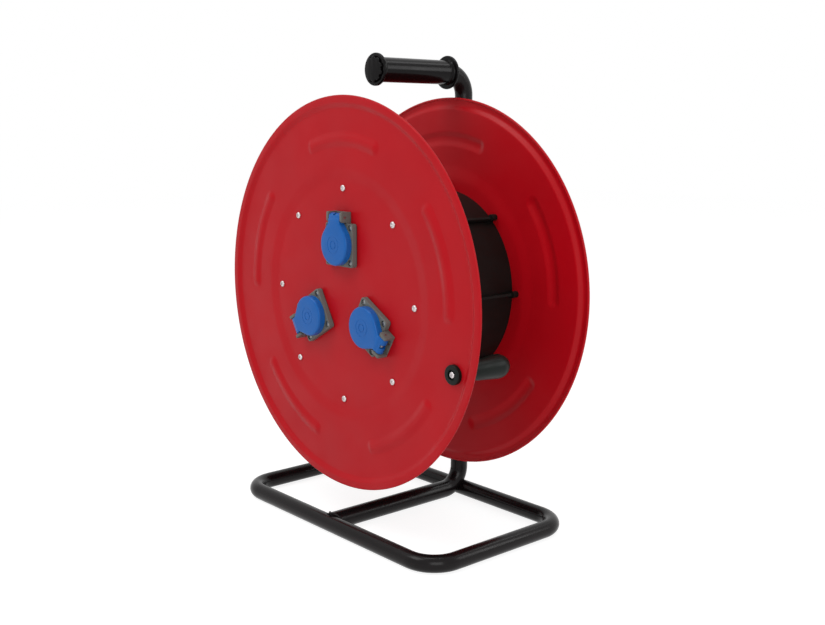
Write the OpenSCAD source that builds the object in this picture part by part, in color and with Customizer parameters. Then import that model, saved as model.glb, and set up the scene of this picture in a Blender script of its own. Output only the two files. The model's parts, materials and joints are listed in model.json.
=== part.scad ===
// Portable cord reel: a drum with three lidded sockets on a bent-tube stand.
// Origin: on the floor, in the middle of the floor loop. +X right, +Y to the rear post, +Z up.

/* [Stand] */
// Outer diameter of the floor loop's tube
tube_d = 20; // [16:0.5:24]
// Outer diameter of the post's tube
post_d = 22; // [18:0.5:24]
// Wall of both tubes
tube_wall = 1.5; // [1:0.1:2.5]
// Distance between the side members of the floor loop, centre to centre
base_w = 361; // [321:5:421]
// Distance between the front and rear members of the floor loop, centre to centre
base_d = 215.4; // [207.4:1:260.4]
// Centreline radius of the floor loop's corners
base_corner_r = 35; // [28:1:60]
// Height of the drum's axis above the floor
axis_h = 285; // [270:1:320]
// Height of the carrying arm's centreline above the drum's axis
arm_rise = 260.4; // [255.4:1:300.4]
// Centreline radius of the bends at the foot and at the top of the post
post_bend_r = 27; // [25:0.5:34]
// Diameter of the vent hole under the joint of loop and cross member
vent_d = 8; // [5:0.5:10]

/* [Carrying grip] */
// Length of the grip over both end rings
grip_len = 117.5; // [100:0.5:125]
// Diameter of the grip's sleeve
grip_d = 28.8; // [26.4:0.2:32]
// Diameter of the grip's front lip
grip_lip_d = 37.8; // [36.6:0.2:44]
// Diameter of the grip's rear lip
grip_rear_lip_d = 40.2; // [36.6:0.2:44]
// Length of the front lip
grip_lip_front = 4; // [3:0.5:8]
// Length of the rear lip
grip_lip_rear = 3.5; // [3:0.5:6]
// Length of the hollow flare between a lip and the sleeve
grip_flare = 4.5; // [3:0.5:12]
// Height of the flare where it meets a lip
grip_shoulder = 1.6; // [0.8:0.1:2.4]
// Depth of the seat in the grip's front face
grip_seat = 1; // [0.5:0.1:2]
// Thickness of the end cap's plate
cap_plate_t = 3.6; // [3:0.1:5]
// Radius of the end cap over its lobes
cap_lobe_r = 15; // [13:0.5:16]
// Number of lobes of the end cap
cap_lobes = 10; // [6:1:14]

/* [Drum] */
// Diameter of both flanges
flange_d = 461; // [450:1:470]
// Distance over both flanges' rims
drum_span = 172.4; // [162.4:1:176.4]
// Distance of the drum's middle in front of the loop's middle
drum_forward = 3; // [0:0.2:6]
// Thickness of the flange sheet
sheet = 1.2; // [0.8:0.1:1.6]
// How far the annulus lies inside the rim
annulus_depth = 3.6; // [2.8:0.1:4.4]
// How far the dished centre lies inside the rim
dish_depth = 5.5; // [4.6:0.1:7]
// Radius of the dished centre
dish_r = 134; // [132:1:138]
// Width of the slope around the dished centre
dish_slope = 14; // [8:1:16]
// Width of the flat band along the rim
rim_band = 9; // [6:0.5:12]
// Width of the slope to the rim band
rim_slope = 5; // [3:0.5:8]
// Diameter of the rolled edge
rim_roll_d = 3.2; // [2.8:0.1:4]
// Number of arc ribs
rib_count = 5; // [3:1:6]
// Radius of the ribs' centreline
rib_r = 180.5; // [172:0.5:186]
// Width of a rib at its foot
rib_foot = 21; // [16:0.5:24]
// Width of a rib at its crest
rib_crest = 5.5; // [4:0.5:9]
// Height of a rib
rib_h = 2.2; // [1.5:0.1:2.6]
// Half of the angle that a rib covers, to the centres of its round ends
rib_half_angle = 18.5; // [12.5:1:22.5]
// Radius of the screw circle
screw_circle_r = 125; // [122:0.5:127]
// Number of screws in a flange
screw_count = 8; // [6:2:8]

/* [Core] */
// Outer radius of the winding core
core_r = 118.5; // [115:0.5:120]
// Wall of the winding core
core_wall = 3; // [2.5:0.5:4]
// Thickness of a fin
fin_t = 3; // [2.5:0.5:5]
// Radius of a screw boss
boss_r = 4; // [3.6:0.1:5]
// Length of a screw boss
boss_len = 8; // [7:0.5:14]

/* [Axle and hub] */
// Outer radius of the axle tube
axle_r = 12.5; // [11.5:0.5:13.5]
// Wall of the axle tube
axle_wall = 3; // [2.5:0.1:4]
// Radius of the thrust collar
collar_r = 17; // [16:0.5:19]
// Thickness of the thrust collar
collar_t = 3.5; // [2.5:0.5:5]
// Radial wall of a bearing bush
bush_wall = 3; // [2:0.5:4]
// Length of a bearing bush
bush_len = 20; // [14:1:26]
// Thickness of a bush's head
bush_head_t = 2; // [1.5:0.5:3]
// Radial wall of the hub tube
hub_wall = 3.5; // [2.5:0.5:5]
// Radius of the hub's bolting plate
hub_plate_r = 45; // [42:1:52]
// Thickness of the hub's bolting plate
hub_plate_t = 4; // [3:0.5:6]
// Radius of the hub's bolt circle
hub_bolt_circle_r = 35; // [32:0.5:37]
// How far the hub's front end lies behind the front rim
hub_front = 58; // [56:1:72]
// Radial clearance of turning shafts
running_gap = 0.05; // [0.02:0.01:0.09]
// Gap between faces that slide past each other
face_gap = 0.3; // [0.2:0.05:0.5]

/* [Sockets] */
// Radius of the circle that the sockets' centres lie on
socket_circle_r = 60; // [58:0.5:66]
// Side of a socket's square plate
plate_side = 50.5; // [50:0.5:54]
// Thickness of a socket's plate
plate_t = 6.3; // [5.5:0.1:8]
// Corner radius of a socket's plate
plate_corner_r = 3; // [2:0.5:6]
// Thickness of the gasket under the plate
gasket_t = 1; // [0.8:0.1:1.5]
// Radius of the plug recess
recess_r = 19.6; // [19.5:0.05:19.8]
// Depth of the plug recess
recess_depth = 17; // [16.5:0.1:18]
// Wall of the socket's cup
cup_wall = 2; // [1.6:0.1:2.4]
// How far the cup reaches behind the flange's face
cup_back = 30; // [29:0.5:34]
// Distance between the plate's screws
plate_screw_pitch = 40; // [39.5:0.5:41]
// Distance between the plug pin holes
pin_pitch = 19; // [19:0.5:19.5]
// Radius of a plug pin hole
pin_hole_r = 2.6; // [2.5:0.05:2.8]
// Radius of the lid's disc
lid_r = 24.2; // [23.5:0.1:24.4]
// Height of the lid's disc
lid_h = 8.4; // [7.6:0.1:9]
// Wall of the lid
lid_wall = 2; // [1.5:0.1:2.5]
// Radius of the rounded edge around the lid
lid_edge_r = 2.4; // [1.5:0.1:3]
// Radius of the barrel at the end of the lid's neck
lid_barrel_r = 5.2; // [4.8:0.1:5.6]
// Width of the lid's neck
neck_w = 19.8; // [17:0.2:21]
// Thickness of a hinge ear
ear_t = 3.6; // [2.8:0.1:4.4]
// Radius of a hinge pin
hinge_pin_r = 1.5; // [1.2:0.1:1.8]

/* [Winding grip] */
// Gap between the winding grip's bush and the slope to the rim band
crank_gap = 5.6; // [0.1:0.5:9.1]
// Angle of the winding grip around the drum's axis
crank_angle = -18; // [-22:0.5:-14]
// Radius of the bush's front ring
crank_bush_r = 10.9; // [10:0.1:12]
// How far the bush stands in front of the flange
crank_bush_h = 5; // [4.5:0.1:6]
// Radius of the winding grip at its front end
crank_grip_r0 = 8.6; // [8:0.1:10]
// Largest radius of the winding grip
crank_grip_r1 = 13.6; // [12:0.1:15]
// Length of the winding grip
crank_grip_len = 76; // [70:0.1:90]
// Length of the grip's rounded end
crank_dome_len = 17; // [14:0.1:24]
// Radius of the spindle inside the grip
spindle_r = 5; // [4.5:0.1:5.5]

/* [Cable gland] */
// Angle of the cable gland around the drum's axis
gland_angle = 157.5; // [154:0.5:161]
// Distance of the gland's axis behind the front rim
gland_depth = 62; // [50:1:80]
// Radius of the gland's thread
gland_thread_r = 10; // [9.5:0.1:10.5]
// Radius of the hole for the cable
cable_hole_r = 5.5; // [4.5:0.1:6.5]

/* [Hidden] */
$fn = 96;

// Overlap that lets a cutting shape break cleanly through a face
cut = 1;

// Stand
tube_r = tube_d / 2;
bore_r = tube_r - tube_wall;
post_r = post_d / 2;
post_bore_r = post_r - tube_wall;
half_w = base_w / 2;
half_d = base_d / 2;
// The rear member is notched for the bend at the foot of the post, where it is welded
weld_gap = 0.05;
arm_h = axis_h + arm_rise;
// The grip's rear end sits where the arm's bend begins
grip_rear_y = half_d - post_bend_r;
grip_front_y = grip_rear_y - grip_len;
// The frame tube ends behind the end cap's plate
cap_plug_len = 12;
cap_gap = 0.2;
lip_edge_r = 1.2;
flare_steps = 8;
arm_end_y = grip_front_y + grip_seat;

// Drum, in depths behind the front rim's outermost plane
drum_front_y = -drum_forward - drum_span / 2;
flange_r = flange_d / 2;
dish_inside = dish_depth + sheet;
dish_foot_r = dish_r + dish_slope;
rim_band_r = flange_r - rim_band;
rim_slope_r = rim_band_r - rim_slope;
crank_r = rim_slope_r - crank_gap - crank_bush_r;
roll_r = rim_roll_d / 2;
rear_dish_inside = drum_span - dish_inside;
rear_dish_outside = drum_span - dish_depth;
core_len = rear_dish_inside - dish_inside;

// Machine screws of the flanges
screw_r = 2;
screw_head_r = 3.75;
screw_head_h = 2.4;
screw_play = 0.2;
screw_len = boss_len - 1;
fin_root = core_r - core_wall / 2;
fin_inset = 0.5;
slot_w = 1;

// Hub and bearings
axle_bore_r = axle_r - axle_wall;
bush_bore_r = axle_r + running_gap;
bush_r = bush_bore_r + bush_wall;
hub_r = bush_r + hub_wall;
bush_head_r = hub_r - 0.5;
hub_rear = rear_dish_outside + 0.8;
washer_t = 1.5;
washer_r = collar_r;
washer_play = 0.2;
washer_bore_r = axle_r + washer_play;
collar_front = hub_rear + bush_head_t + face_gap + washer_t;
front_washer_rear = hub_front - bush_head_t - face_gap;
front_washer_front = front_washer_rear - washer_t;
circlip_t = 1.5;
circlip_bite = 1;
circlip_r = axle_r + 3;
circlip_gap_w = 9;
circlip_front = front_washer_front - circlip_t;
axle_front = circlip_front - 4.5;
axle_end_y = half_d - 1;
bolt_r = 3;
bolt_play = 0.2;
bolt_head_r = 5.8;
bolt_head_h = 3.5;
nut_h = 5;
hub_bolt_count = 4;

// Sockets, in heights above the dished centre's outer face
socket_names = ["top", "left", "right"];
socket_angles = [90, 210, 330];
plate_top = gasket_t + plate_t;
plate_half = plate_side / 2;
cup_r = recess_r + cup_wall;
cup_play = 0.4;
cup_hole_r = cup_r + cup_play;
recess_floor = plate_top - recess_depth;
holder_t = 8;
holder_play = 0.1;
holder_back = recess_floor - holder_t;
ledge_w = 2.2;
ledge_t = 2;
sleeve_boss_r = 5.2;
sleeve_wall = 1.1;
sleeve_r = pin_hole_r - 0.1 + sleeve_wall;
sleeve_front = recess_floor - 3;
sleeve_len = 15;
clip_w = 6;
clip_t = 0.8;
clip_u = recess_r - ledge_w - clip_t - 0.3;
clip_slot_play = 0.2;
clip_rise = 11;
cover_t = 2;
lead_r = 3.5;
lead_joint_r = 5;

// Socket screws
small_screw_r = 1.75;
small_head_r = 3;
small_head_h = 2;
counterbore_depth = 2.6;
small_screw_len = 13;
small_nut_r = 3.2;
small_nut_h = 2.8;

// Lid and hinge: the pin lies above the plate's top, clear of the plate's edge
hinge_gap = 1.6;
hinge_u = plate_half + hinge_gap + lid_barrel_r;
ear_play = 0.8;
ear_v = neck_w / 2 + ear_play;
ear_outer_r = 2;
ear_inner_r = 3;
ear_root = 0.4;
ear_step = 1;
ear_u = hinge_u + lid_barrel_r + 1.2;
tongue_base = 0.2;
tongue_t = 1.3;
tongue_top = tongue_base + tongue_t;
barrel_gap = 2.5;
hinge_w = tongue_top + barrel_gap + lid_barrel_r;
ear_w = hinge_w + lid_barrel_r;
lid_floor = plate_top + face_gap;
lid_top = lid_floor + lid_h;
neck_top = lid_top - 0.6;
// The neck's flare leaves the disc along a tangent and ends where the neck is straight
neck_angle = 39.5;
neck_bite = 0.15;
neck_flare_u = (lid_r - neck_bite) * sin(neck_angle);
half_flare = (lid_r - neck_bite) * cos(neck_angle);
neck_straight_u = neck_flare_u + (half_flare - neck_w / 2) / tan(neck_angle);
neck_floor = plate_top + 1;
neck_drop_u = hinge_u - 2.6;
seal_w = 1.6;
seal_h = 3.6;
mark_r = 5;
mark_w = 1;
mark_depth = 0.4;
spring_wire_r = 0.5;
spring_turns = 4;
spring_pitch = 0.9;
spring_r = hinge_pin_r + 0.4 + spring_wire_r;
spring_len = (spring_turns - 1) * spring_pitch + 2 * spring_wire_r;
spring_pocket_r = spring_r + spring_wire_r + 0.4;
spring_slot_w = spring_len + 0.8;
spring_slot_skin = 0.6;
spring_slot_top = hinge_w + lid_barrel_r - spring_slot_skin;
leg_r = 0.6;
leg_play = 0.1;
leg_v = spring_wire_r - spring_len / 2;
counterbore_r = 3.7;

// Winding grip, in heights above the front rim's plane
crank_seat = -annulus_depth;
crank_back = crank_seat - sheet;
crank_hole_r = 8.2;
crank_spigot_r = crank_hole_r - 0.2;
crank_screw_r = 3;
crank_screw_head_r = 3.6;
crank_screw_head_h = 2.4;
crank_recess_r = 5.6;
crank_recess_depth = 2.2;
crank_edge_r = 1.4;
crank_washer_r = crank_bush_r - 0.4;
crank_washer_t = 1.5;
spindle_front = crank_back - crank_washer_t;
grip_front = spindle_front - face_gap - 0.1;
grip_bore_len = crank_grip_len - crank_dome_len / 2;
spindle_tip_gap = 2;
spindle_len = grip_bore_len - spindle_tip_gap;
snap_ring_t = 1.2;
snap_ring_bite = 0.8;
snap_ring_r = spindle_r + 0.8;
snap_ring_z = spindle_front - spindle_len + 5;
snap_groove_play = 0.6;
crank_screw_len = 20;
crank_screw_tip_gap = 2;
dome_steps = 14;

// Cable gland, in radii from the drum's axis
gland_pad = 34;
gland_seat = core_r + 2.5;
gland_inner_seat = core_r - core_wall - 2.5;
gland_hex_r = 13.9;
gland_hex_h = 5;
gland_wall = 2;
gland_seal_r = gland_thread_r - gland_wall;
gland_inner = gland_inner_seat - 8;
gland_nut_h = 6;
gland_outer = gland_seat + gland_hex_h + gland_nut_h;
gland_cap_top = gland_outer + 3.5;
gland_cap_wall = 3;
gland_nut_bore_r = cable_hole_r + 1;
gland_play = 0.1;
gland_seal_front = gland_seat + 2;
locknut_h = 5;
block_w = 32;
block_t = 16.5;
block_gap = 26;
block_front = gland_depth + block_gap;
block_len = 40;
block_r = core_r - core_wall - block_t;
block_screw_r = 2;
block_screw_depth = 6;
lead_depth = 46;
core_bore_r = core_r - core_wall;

// ---- Frames of reference ----

// The drum's frame: z = 0 on the front rim's plane, +z towards the sockets' side, +y up
module on_drum() {
    translate([0, drum_front_y, axis_h])
        rotate([90, 0, 0])
            children();
}

// The rear flange's frame: the front flange's frame seen in a mirror
module on_drum_rear() {
    on_drum()
        translate([0, 0, -drum_span])
            mirror([0, 0, 1])
                children();
}

// A place on the drum at a radius and an angle, its +y pointing away from the axis
module at_polar(r, angle) {
    rotate([0, 0, angle - 90])
        translate([0, r, 0])
            children();
}

// A socket's frame: origin at the socket's centre on the flange's face
module at_socket(i) {
    on_drum()
        translate([0, 0, -dish_depth])
            at_polar(socket_circle_r, socket_angles[i])
                children();
}

// The gland's frame: z is the distance from the drum's axis along the gland
module at_gland() {
    on_drum()
        translate([0, 0, -gland_depth])
            rotate([0, 0, gland_angle])
                rotate([0, 90, 0])
                    children();
}

// The winding grip's frame: z = 0 on the front rim's plane
module at_crank() {
    on_drum()
        at_polar(crank_r, crank_angle)
            children();
}

// Turns a shape drawn in x and y into the plane of the stand's bends
module in_post_plane(y, z) {
    translate([0, y, z])
        rotate([90, 0, 90])
            children();
}

// A rod along +Y
module rod_y(x, y, z, r, len) {
    translate([x, y, z])
        rotate([-90, 0, 0])
            cylinder(r = r, h = len);
}

// A ring between two heights
module ring(r_out, r_in, z0, z1) {
    translate([0, 0, z0])
        difference() {
            cylinder(r = r_out, h = z1 - z0);
            translate([0, 0, -cut])
                cylinder(r = r_in, h = z1 - z0 + 2 * cut);
        }
}

// A pan-head screw with a crossed slot: head above z = 0, shank below
module pan_screw(head_r, head_h, shank_r, len) {
    difference() {
        union() {
            cylinder(r = head_r, h = head_h / 2);
            translate([0, 0, head_h / 2])
                cylinder(r1 = head_r, r2 = head_r * 0.7, h = head_h / 2);
            translate([0, 0, -len])
                cylinder(r = shank_r, h = len + head_h / 2);
        }
        for (a = [0, 90])
            rotate([0, 0, a])
                translate([-head_r * 0.55, -slot_w / 2, head_h * 0.45])
                    cube([head_r * 1.1, slot_w, head_h]);
    }
}

// ---- Stand ----

// A quarter of a bent tube around the z axis
module bend(bend_r, r, start) {
    rotate([0, 0, start])
        rotate_extrude(angle = 90)
            translate([bend_r, 0])
                circle(r = r);
}

// The floor loop's centreline swept with a circle
module loop_sweep(r) {
    side = half_w - base_corner_r;
    end = half_d - base_corner_r;
    for (s = [-1, 1]) {
        rod_y(s * half_w, -end, tube_r, r, 2 * end);
        translate([-side, s * half_d, tube_r])
            rotate([0, 90, 0])
                cylinder(r = r, h = 2 * side);
    }
    for (q = [0:3])
        translate([(q == 0 || q == 3 ? 1 : -1) * side, (q < 2 ? 1 : -1) * end, tube_r])
            bend(base_corner_r, r, 90 * q);
}

module base_loop() {
    color("#262626")
        difference() {
            loop_sweep(tube_r);
            loop_sweep(bore_r);
            rod_y(0, -half_d, tube_r, vent_d / 2, tube_d);
            foot_bend(post_r + weld_gap);
        }
}

// The bend from the cross member on the floor to the post
module foot_bend(r) {
    in_post_plane(half_d - post_bend_r, post_r + post_bend_r)
        bend(post_bend_r, r, -90);
}

// The post's centreline swept with a circle, longer by extra at the arm's open end
module post_sweep(r, extra) {
    rod_y(0, -half_d, post_r, r, base_d - post_bend_r);
    foot_bend(r);
    translate([0, half_d, post_r + post_bend_r])
        cylinder(r = r, h = arm_h - post_r - 2 * post_bend_r);
    in_post_plane(half_d - post_bend_r, arm_h - post_bend_r)
        bend(post_bend_r, r, 0);
    rod_y(0, arm_end_y - extra, arm_h, r, half_d - post_bend_r - arm_end_y + extra);
}

module post_tube() {
    color("#262626")
        difference() {
            post_sweep(post_r, 0);
            post_sweep(post_bore_r, cut);
            translate([-post_d, -half_d, tube_r])
                rotate([0, 90, 0])
                    cylinder(r = tube_r, h = 2 * post_d);
        }
}

module axle() {
    length = axle_end_y - drum_front_y - axle_front;
    color("silver")
        difference() {
            union() {
                rod_y(0, drum_front_y + axle_front, axis_h, axle_r, length);
                rod_y(0, drum_front_y + collar_front, axis_h, collar_r, collar_t);
            }
            rod_y(0, drum_front_y + axle_front - cut, axis_h, axle_bore_r, length);
            translate([0, half_d, axis_h - 2 * axle_r])
                cylinder(r = post_r, h = 4 * axle_r);
            on_drum()
                ring(axle_r + cut, axle_r - circlip_bite, -front_washer_front, -circlip_front);
        }
}

// Half section of one end of the carrying grip: a lip with round edges and a hollow flare
module grip_end_section(lip_len, lip_r) {
    translate([post_r, 0])
        square([lip_r - lip_edge_r - post_r, lip_len]);
    translate([post_r, lip_edge_r])
        square([lip_r - post_r, lip_len - 2 * lip_edge_r]);
    for (z = [lip_edge_r, lip_len - lip_edge_r])
        translate([lip_r - lip_edge_r, z])
            circle(r = lip_edge_r);
    polygon([for (i = [0:flare_steps])
        let (t = i / flare_steps)
            [grip_d / 2 + grip_shoulder * pow(1 - t, 2), lip_len + grip_flare * t],
        [post_r, lip_len + grip_flare], [post_r, lip_len]]);
}

module carry_grip() {
    color("#1f1f1f")
        translate([0, grip_front_y, arm_h])
            rotate([-90, 0, 0])
                rotate_extrude()
                    difference() {
                        union() {
                            translate([post_r, 0])
                                square([grip_d / 2 - post_r, grip_len]);
                            grip_end_section(grip_lip_front, grip_lip_d / 2);
                            translate([0, grip_len])
                                mirror([0, 1])
                                    grip_end_section(grip_lip_rear, grip_rear_lip_d / 2);
                        }
                        translate([0, -cut])
                            square([cap_lobe_r + cap_gap, grip_seat + cut]);
                    }
}

module grip_end_cap() {
    notch_r = cap_lobe_r * sin(180 / cap_lobes) * 0.62;
    color("#2b2b2b")
        translate([0, grip_front_y + grip_seat - cap_plate_t, arm_h])
            rotate([-90, 0, 0]) {
                linear_extrude(cap_plate_t)
                    difference() {
                        circle(r = cap_lobe_r);
                        for (i = [0:cap_lobes - 1])
                            rotate(360 / cap_lobes * i)
                                translate([cap_lobe_r + notch_r * 0.35, 0])
                                    circle(r = notch_r);
                    }
                cylinder(r = post_bore_r, h = cap_plate_t + cap_plug_len);
            }
}

module rear_thrust_washer() {
    color("gainsboro")
        on_drum()
            ring(washer_r, washer_bore_r, -collar_front, -collar_front + washer_t);
}

module front_thrust_washer() {
    color("gainsboro")
        on_drum()
            ring(washer_r, washer_bore_r, -front_washer_rear, -front_washer_front);
}

module axle_circlip() {
    color("dimgray")
        on_drum()
            difference() {
                ring(circlip_r, axle_r - circlip_bite, -front_washer_front, -circlip_front);
                translate([-circlip_gap_w / 2, 0, -front_washer_front - cut])
                    cube([circlip_gap_w, circlip_r + cut, circlip_t + 2 * cut]);
            }
}

// ---- Flanges ----

// Half section of a flange: x is the radius, y the height above the rim's outer plane
module flange_section(hole_r) {
    outer = [
        [hole_r, -dish_depth], [dish_r, -dish_depth], [dish_foot_r, -annulus_depth],
        [rim_slope_r, -annulus_depth], [rim_band_r, 0], [flange_r - roll_r, 0]
    ];
    last = len(outer) - 1;
    polygon(concat(outer, [for (i = [0:last]) outer[last - i] - [0, sheet]]));
    translate([flange_r - roll_r, -roll_r])
        circle(r = roll_r);
}

// A raised arc rib on the annulus, from a base level to its crest
module rib(base, lift) {
    foot = rib_foot / 2;
    crest = rib_crest / 2;
    rotate([0, 0, 90 - rib_half_angle])
        rotate_extrude(angle = 2 * rib_half_angle)
            translate([rib_r, lift])
                polygon([[-foot, base], [foot, base], [foot, 0], [crest, rib_h],
                         [-crest, rib_h], [-foot, 0]]);
    for (s = [-1, 1])
        rotate([0, 0, s * rib_half_angle])
            translate([0, rib_r, lift]) {
                cylinder(r1 = foot, r2 = crest, h = rib_h);
                translate([0, 0, base])
                    cylinder(r = foot, h = -base);
            }
}

module flange_sheet(hole_r) {
    difference() {
        union() {
            rotate_extrude()
                flange_section(hole_r);
            for (i = [0:rib_count - 1])
                rotate([0, 0, 360 / rib_count * i])
                    rib(-sheet / 2, -annulus_depth);
        }
        for (i = [0:rib_count - 1])
            rotate([0, 0, 360 / rib_count * i])
                rib(-sheet, -annulus_depth - sheet);
        for (i = [0:screw_count - 1])
            at_polar(screw_circle_r, 360 / screw_count * i)
                translate([0, 0, -dish_inside - cut])
                    cylinder(r = screw_r + screw_play, h = sheet + 2 * cut);
    }
}

module front_flange() {
    color("#b02a32")
        on_drum()
            difference() {
                flange_sheet(0);
                translate([0, 0, -dish_inside - cut])
                    for (angle = socket_angles)
                        at_polar(socket_circle_r, angle) {
                            cylinder(r = cup_hole_r, h = sheet + 2 * cut);
                            plate_corners()
                                cylinder(r = small_screw_r + screw_play, h = sheet + 2 * cut);
                        }
                at_polar(crank_r, crank_angle)
                    translate([0, 0, crank_back - cut])
                        cylinder(r = crank_hole_r, h = sheet + 2 * cut);
            }
}

module rear_flange() {
    color("#b02a32")
        on_drum_rear()
            difference() {
                flange_sheet(hub_r + bolt_play);
                translate([0, 0, -dish_inside - cut])
                    hub_bolt_places()
                        cylinder(r = bolt_r + bolt_play, h = sheet + 2 * cut);
            }
}

// One ring of flange screws, seated on the dished centre
module flange_screws() {
    color("silver")
        for (i = [0:screw_count - 1])
            at_polar(screw_circle_r, 360 / screw_count * i)
                translate([0, 0, -dish_depth])
                    pan_screw(screw_head_r, screw_head_h, screw_r, screw_len);
}

module front_flange_screws() {
    on_drum()
        flange_screws();
}

module rear_flange_screws() {
    on_drum_rear()
        flange_screws();
}

// ---- Winding core ----

module drum_core() {
    color("#1c1a18")
        difference() {
            union() {
                on_drum() {
                    rotate([0, 0, 120 / screw_count])
                        ring(core_r, core_bore_r, -rear_dish_inside, -dish_inside);
                    for (i = [0:screw_count - 1])
                        at_polar(screw_circle_r, 360 / screw_count * i) {
                            translate([-fin_t / 2, fin_root - screw_circle_r, fin_inset - rear_dish_inside])
                                cube([fin_t, screw_circle_r - fin_root, core_len - 2 * fin_inset]);
                            for (z = [-dish_inside - boss_len, -rear_dish_inside])
                                translate([0, 0, z])
                                    cylinder(r = boss_r, h = boss_len);
                        }
                }
                at_gland()
                    translate([-gland_pad / 2, -gland_pad / 2, gland_inner_seat])
                        cube([gland_pad, gland_pad, gland_seat - gland_inner_seat]);
            }
            on_drum()
                for (i = [0:screw_count - 1])
                    at_polar(screw_circle_r, 360 / screw_count * i)
                        for (z = [-dish_inside - screw_len + sheet, -rear_dish_inside - cut])
                            translate([0, 0, z])
                                cylinder(r = screw_r, h = screw_len - sheet + cut);
            at_gland()
                translate([0, 0, gland_inner_seat - cut])
                    cylinder(r = gland_thread_r + gland_play, h = gland_seat - gland_inner_seat + 2 * cut);
        }
}

// ---- Hub ----

module hub_bolt_places() {
    for (i = [0:hub_bolt_count - 1])
        at_polar(hub_bolt_circle_r, 45 + 360 / hub_bolt_count * i)
            children();
}

module drum_hub() {
    color("#3a3d40")
        on_drum()
            difference() {
                union() {
                    ring(hub_r, bush_r, -hub_rear, -hub_front);
                    ring(hub_plate_r, bush_r, -rear_dish_inside, -rear_dish_inside + hub_plate_t);
                }
                translate([0, 0, -rear_dish_inside - cut])
                    hub_bolt_places()
                        cylinder(r = bolt_r + bolt_play, h = hub_plate_t + 2 * cut);
            }
}

module hub_bolts() {
    grip_t = sheet + hub_plate_t;
    color("silver")
        on_drum()
            translate([0, 0, -rear_dish_outside])
                hub_bolt_places() {
                    cylinder(r = bolt_r, h = grip_t + nut_h + 1);
                    translate([0, 0, -bolt_head_h])
                        cylinder(r = bolt_head_r, h = bolt_head_h, $fn = 6);
                }
}

module hub_nuts() {
    color("silver")
        on_drum()
            translate([0, 0, -rear_dish_inside + hub_plate_t])
                hub_bolt_places()
                    difference() {
                        cylinder(r = bolt_head_r, h = nut_h, $fn = 6);
                        translate([0, 0, -cut])
                            cylinder(r = bolt_r, h = nut_h + 2 * cut);
                    }
}

module rear_bush() {
    color("ivory")
        on_drum() {
            ring(bush_r, bush_bore_r, -hub_rear, -hub_rear + bush_len);
            ring(bush_head_r, bush_bore_r, -hub_rear - bush_head_t, -hub_rear);
        }
}

module front_bush() {
    color("ivory")
        on_drum() {
            ring(bush_r, bush_bore_r, -hub_front - bush_len, -hub_front);
            ring(bush_head_r, bush_bore_r, -hub_front, -hub_front + bush_head_t);
        }
}

// ---- Cable gland and wiring ----

module gland_body() {
    color("#2a2a2a")
        at_gland()
            difference() {
                union() {
                    translate([0, 0, gland_inner])
                        cylinder(r = gland_thread_r, h = gland_outer - gland_inner);
                    translate([0, 0, gland_seat])
                        cylinder(r = gland_hex_r, h = gland_hex_h, $fn = 6);
                }
                translate([0, 0, gland_inner - cut])
                    cylinder(r = gland_nut_bore_r, h = gland_outer - gland_inner);
                translate([0, 0, gland_seal_front])
                    cylinder(r = gland_seal_r, h = gland_outer - gland_seal_front + cut);
            }
}

module gland_seal() {
    color("#151515")
        at_gland()
            ring(gland_seal_r, cable_hole_r, gland_seal_front, gland_cap_top - gland_cap_wall);
}

module gland_nut() {
    base = gland_seat + gland_hex_h + face_gap;
    color("#2a2a2a")
        at_gland()
            difference() {
                union() {
                    translate([0, 0, base])
                        cylinder(r = gland_hex_r, h = gland_nut_h, $fn = 6);
                    translate([0, 0, base])
                        cylinder(r = gland_hex_r * cos(30), h = gland_cap_top - base);
                }
                translate([0, 0, base - cut])
                    cylinder(r = gland_thread_r + gland_play,
                             h = gland_cap_top - gland_cap_wall - base + cut);
                translate([0, 0, base])
                    cylinder(r = gland_nut_bore_r, h = gland_cap_top);
            }
}

module gland_locknut() {
    color("#2a2a2a")
        at_gland()
            translate([0, 0, gland_inner_seat - locknut_h])
                difference() {
                    cylinder(r = gland_hex_r, h = locknut_h, $fn = 6);
                    translate([0, 0, -cut])
                        cylinder(r = gland_thread_r, h = locknut_h + 2 * cut);
                }
}

// The terminal block fills the curve of the core's inner wall
module terminal_block() {
    color("whitesmoke")
        on_drum()
            difference() {
                intersection() {
                    rotate([0, 0, gland_angle])
                        translate([block_r, -block_w / 2, -block_front - block_len])
                            cube([core_r - block_r, block_w, block_len]);
                    translate([0, 0, -block_front - block_len - cut])
                        cylinder(r = core_bore_r, h = block_len + 2 * cut);
                }
                rotate([0, 0, gland_angle])
                    for (i = [-1, 1])
                        translate([block_r - cut, i * block_w / 4, -block_front - block_len / 4])
                            rotate([0, 90, 0])
                                cylinder(r = block_screw_r, h = block_screw_depth);
            }
}

// A moulded joint of the lead, centred on z = 0
module lead_joint() {
    translate([0, 0, -lead_joint_r])
        cylinder(r = lead_joint_r, h = 2 * lead_joint_r);
}

// The lead from the terminal block runs on to the three sockets, one after another
module internal_lead() {
    first = socket_angles[0];
    sweep = socket_angles[2] - first;
    block_mid = block_front + block_len / 2;
    color("#202020")
        on_drum() {
            translate([0, 0, -lead_depth])
                rotate([0, 0, first])
                    rotate_extrude(angle = sweep)
                        translate([socket_circle_r, 0])
                            circle(r = lead_r);
            for (angle = socket_angles)
                at_polar(socket_circle_r, angle)
                    translate([0, 0, -lead_depth]) {
                        lead_joint();
                        cylinder(r = lead_r, h = lead_depth - dish_depth - cup_back - cover_t / 2);
                    }
            rotate([0, 0, gland_angle])
                translate([socket_circle_r, 0, -block_mid]) {
                    lead_joint();
                    cylinder(r = lead_r, h = block_mid - lead_depth);
                    rotate([0, 90, 0])
                        cylinder(r = lead_r, h = block_r - socket_circle_r);
                }
        }
}

// ---- Winding grip ----

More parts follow.
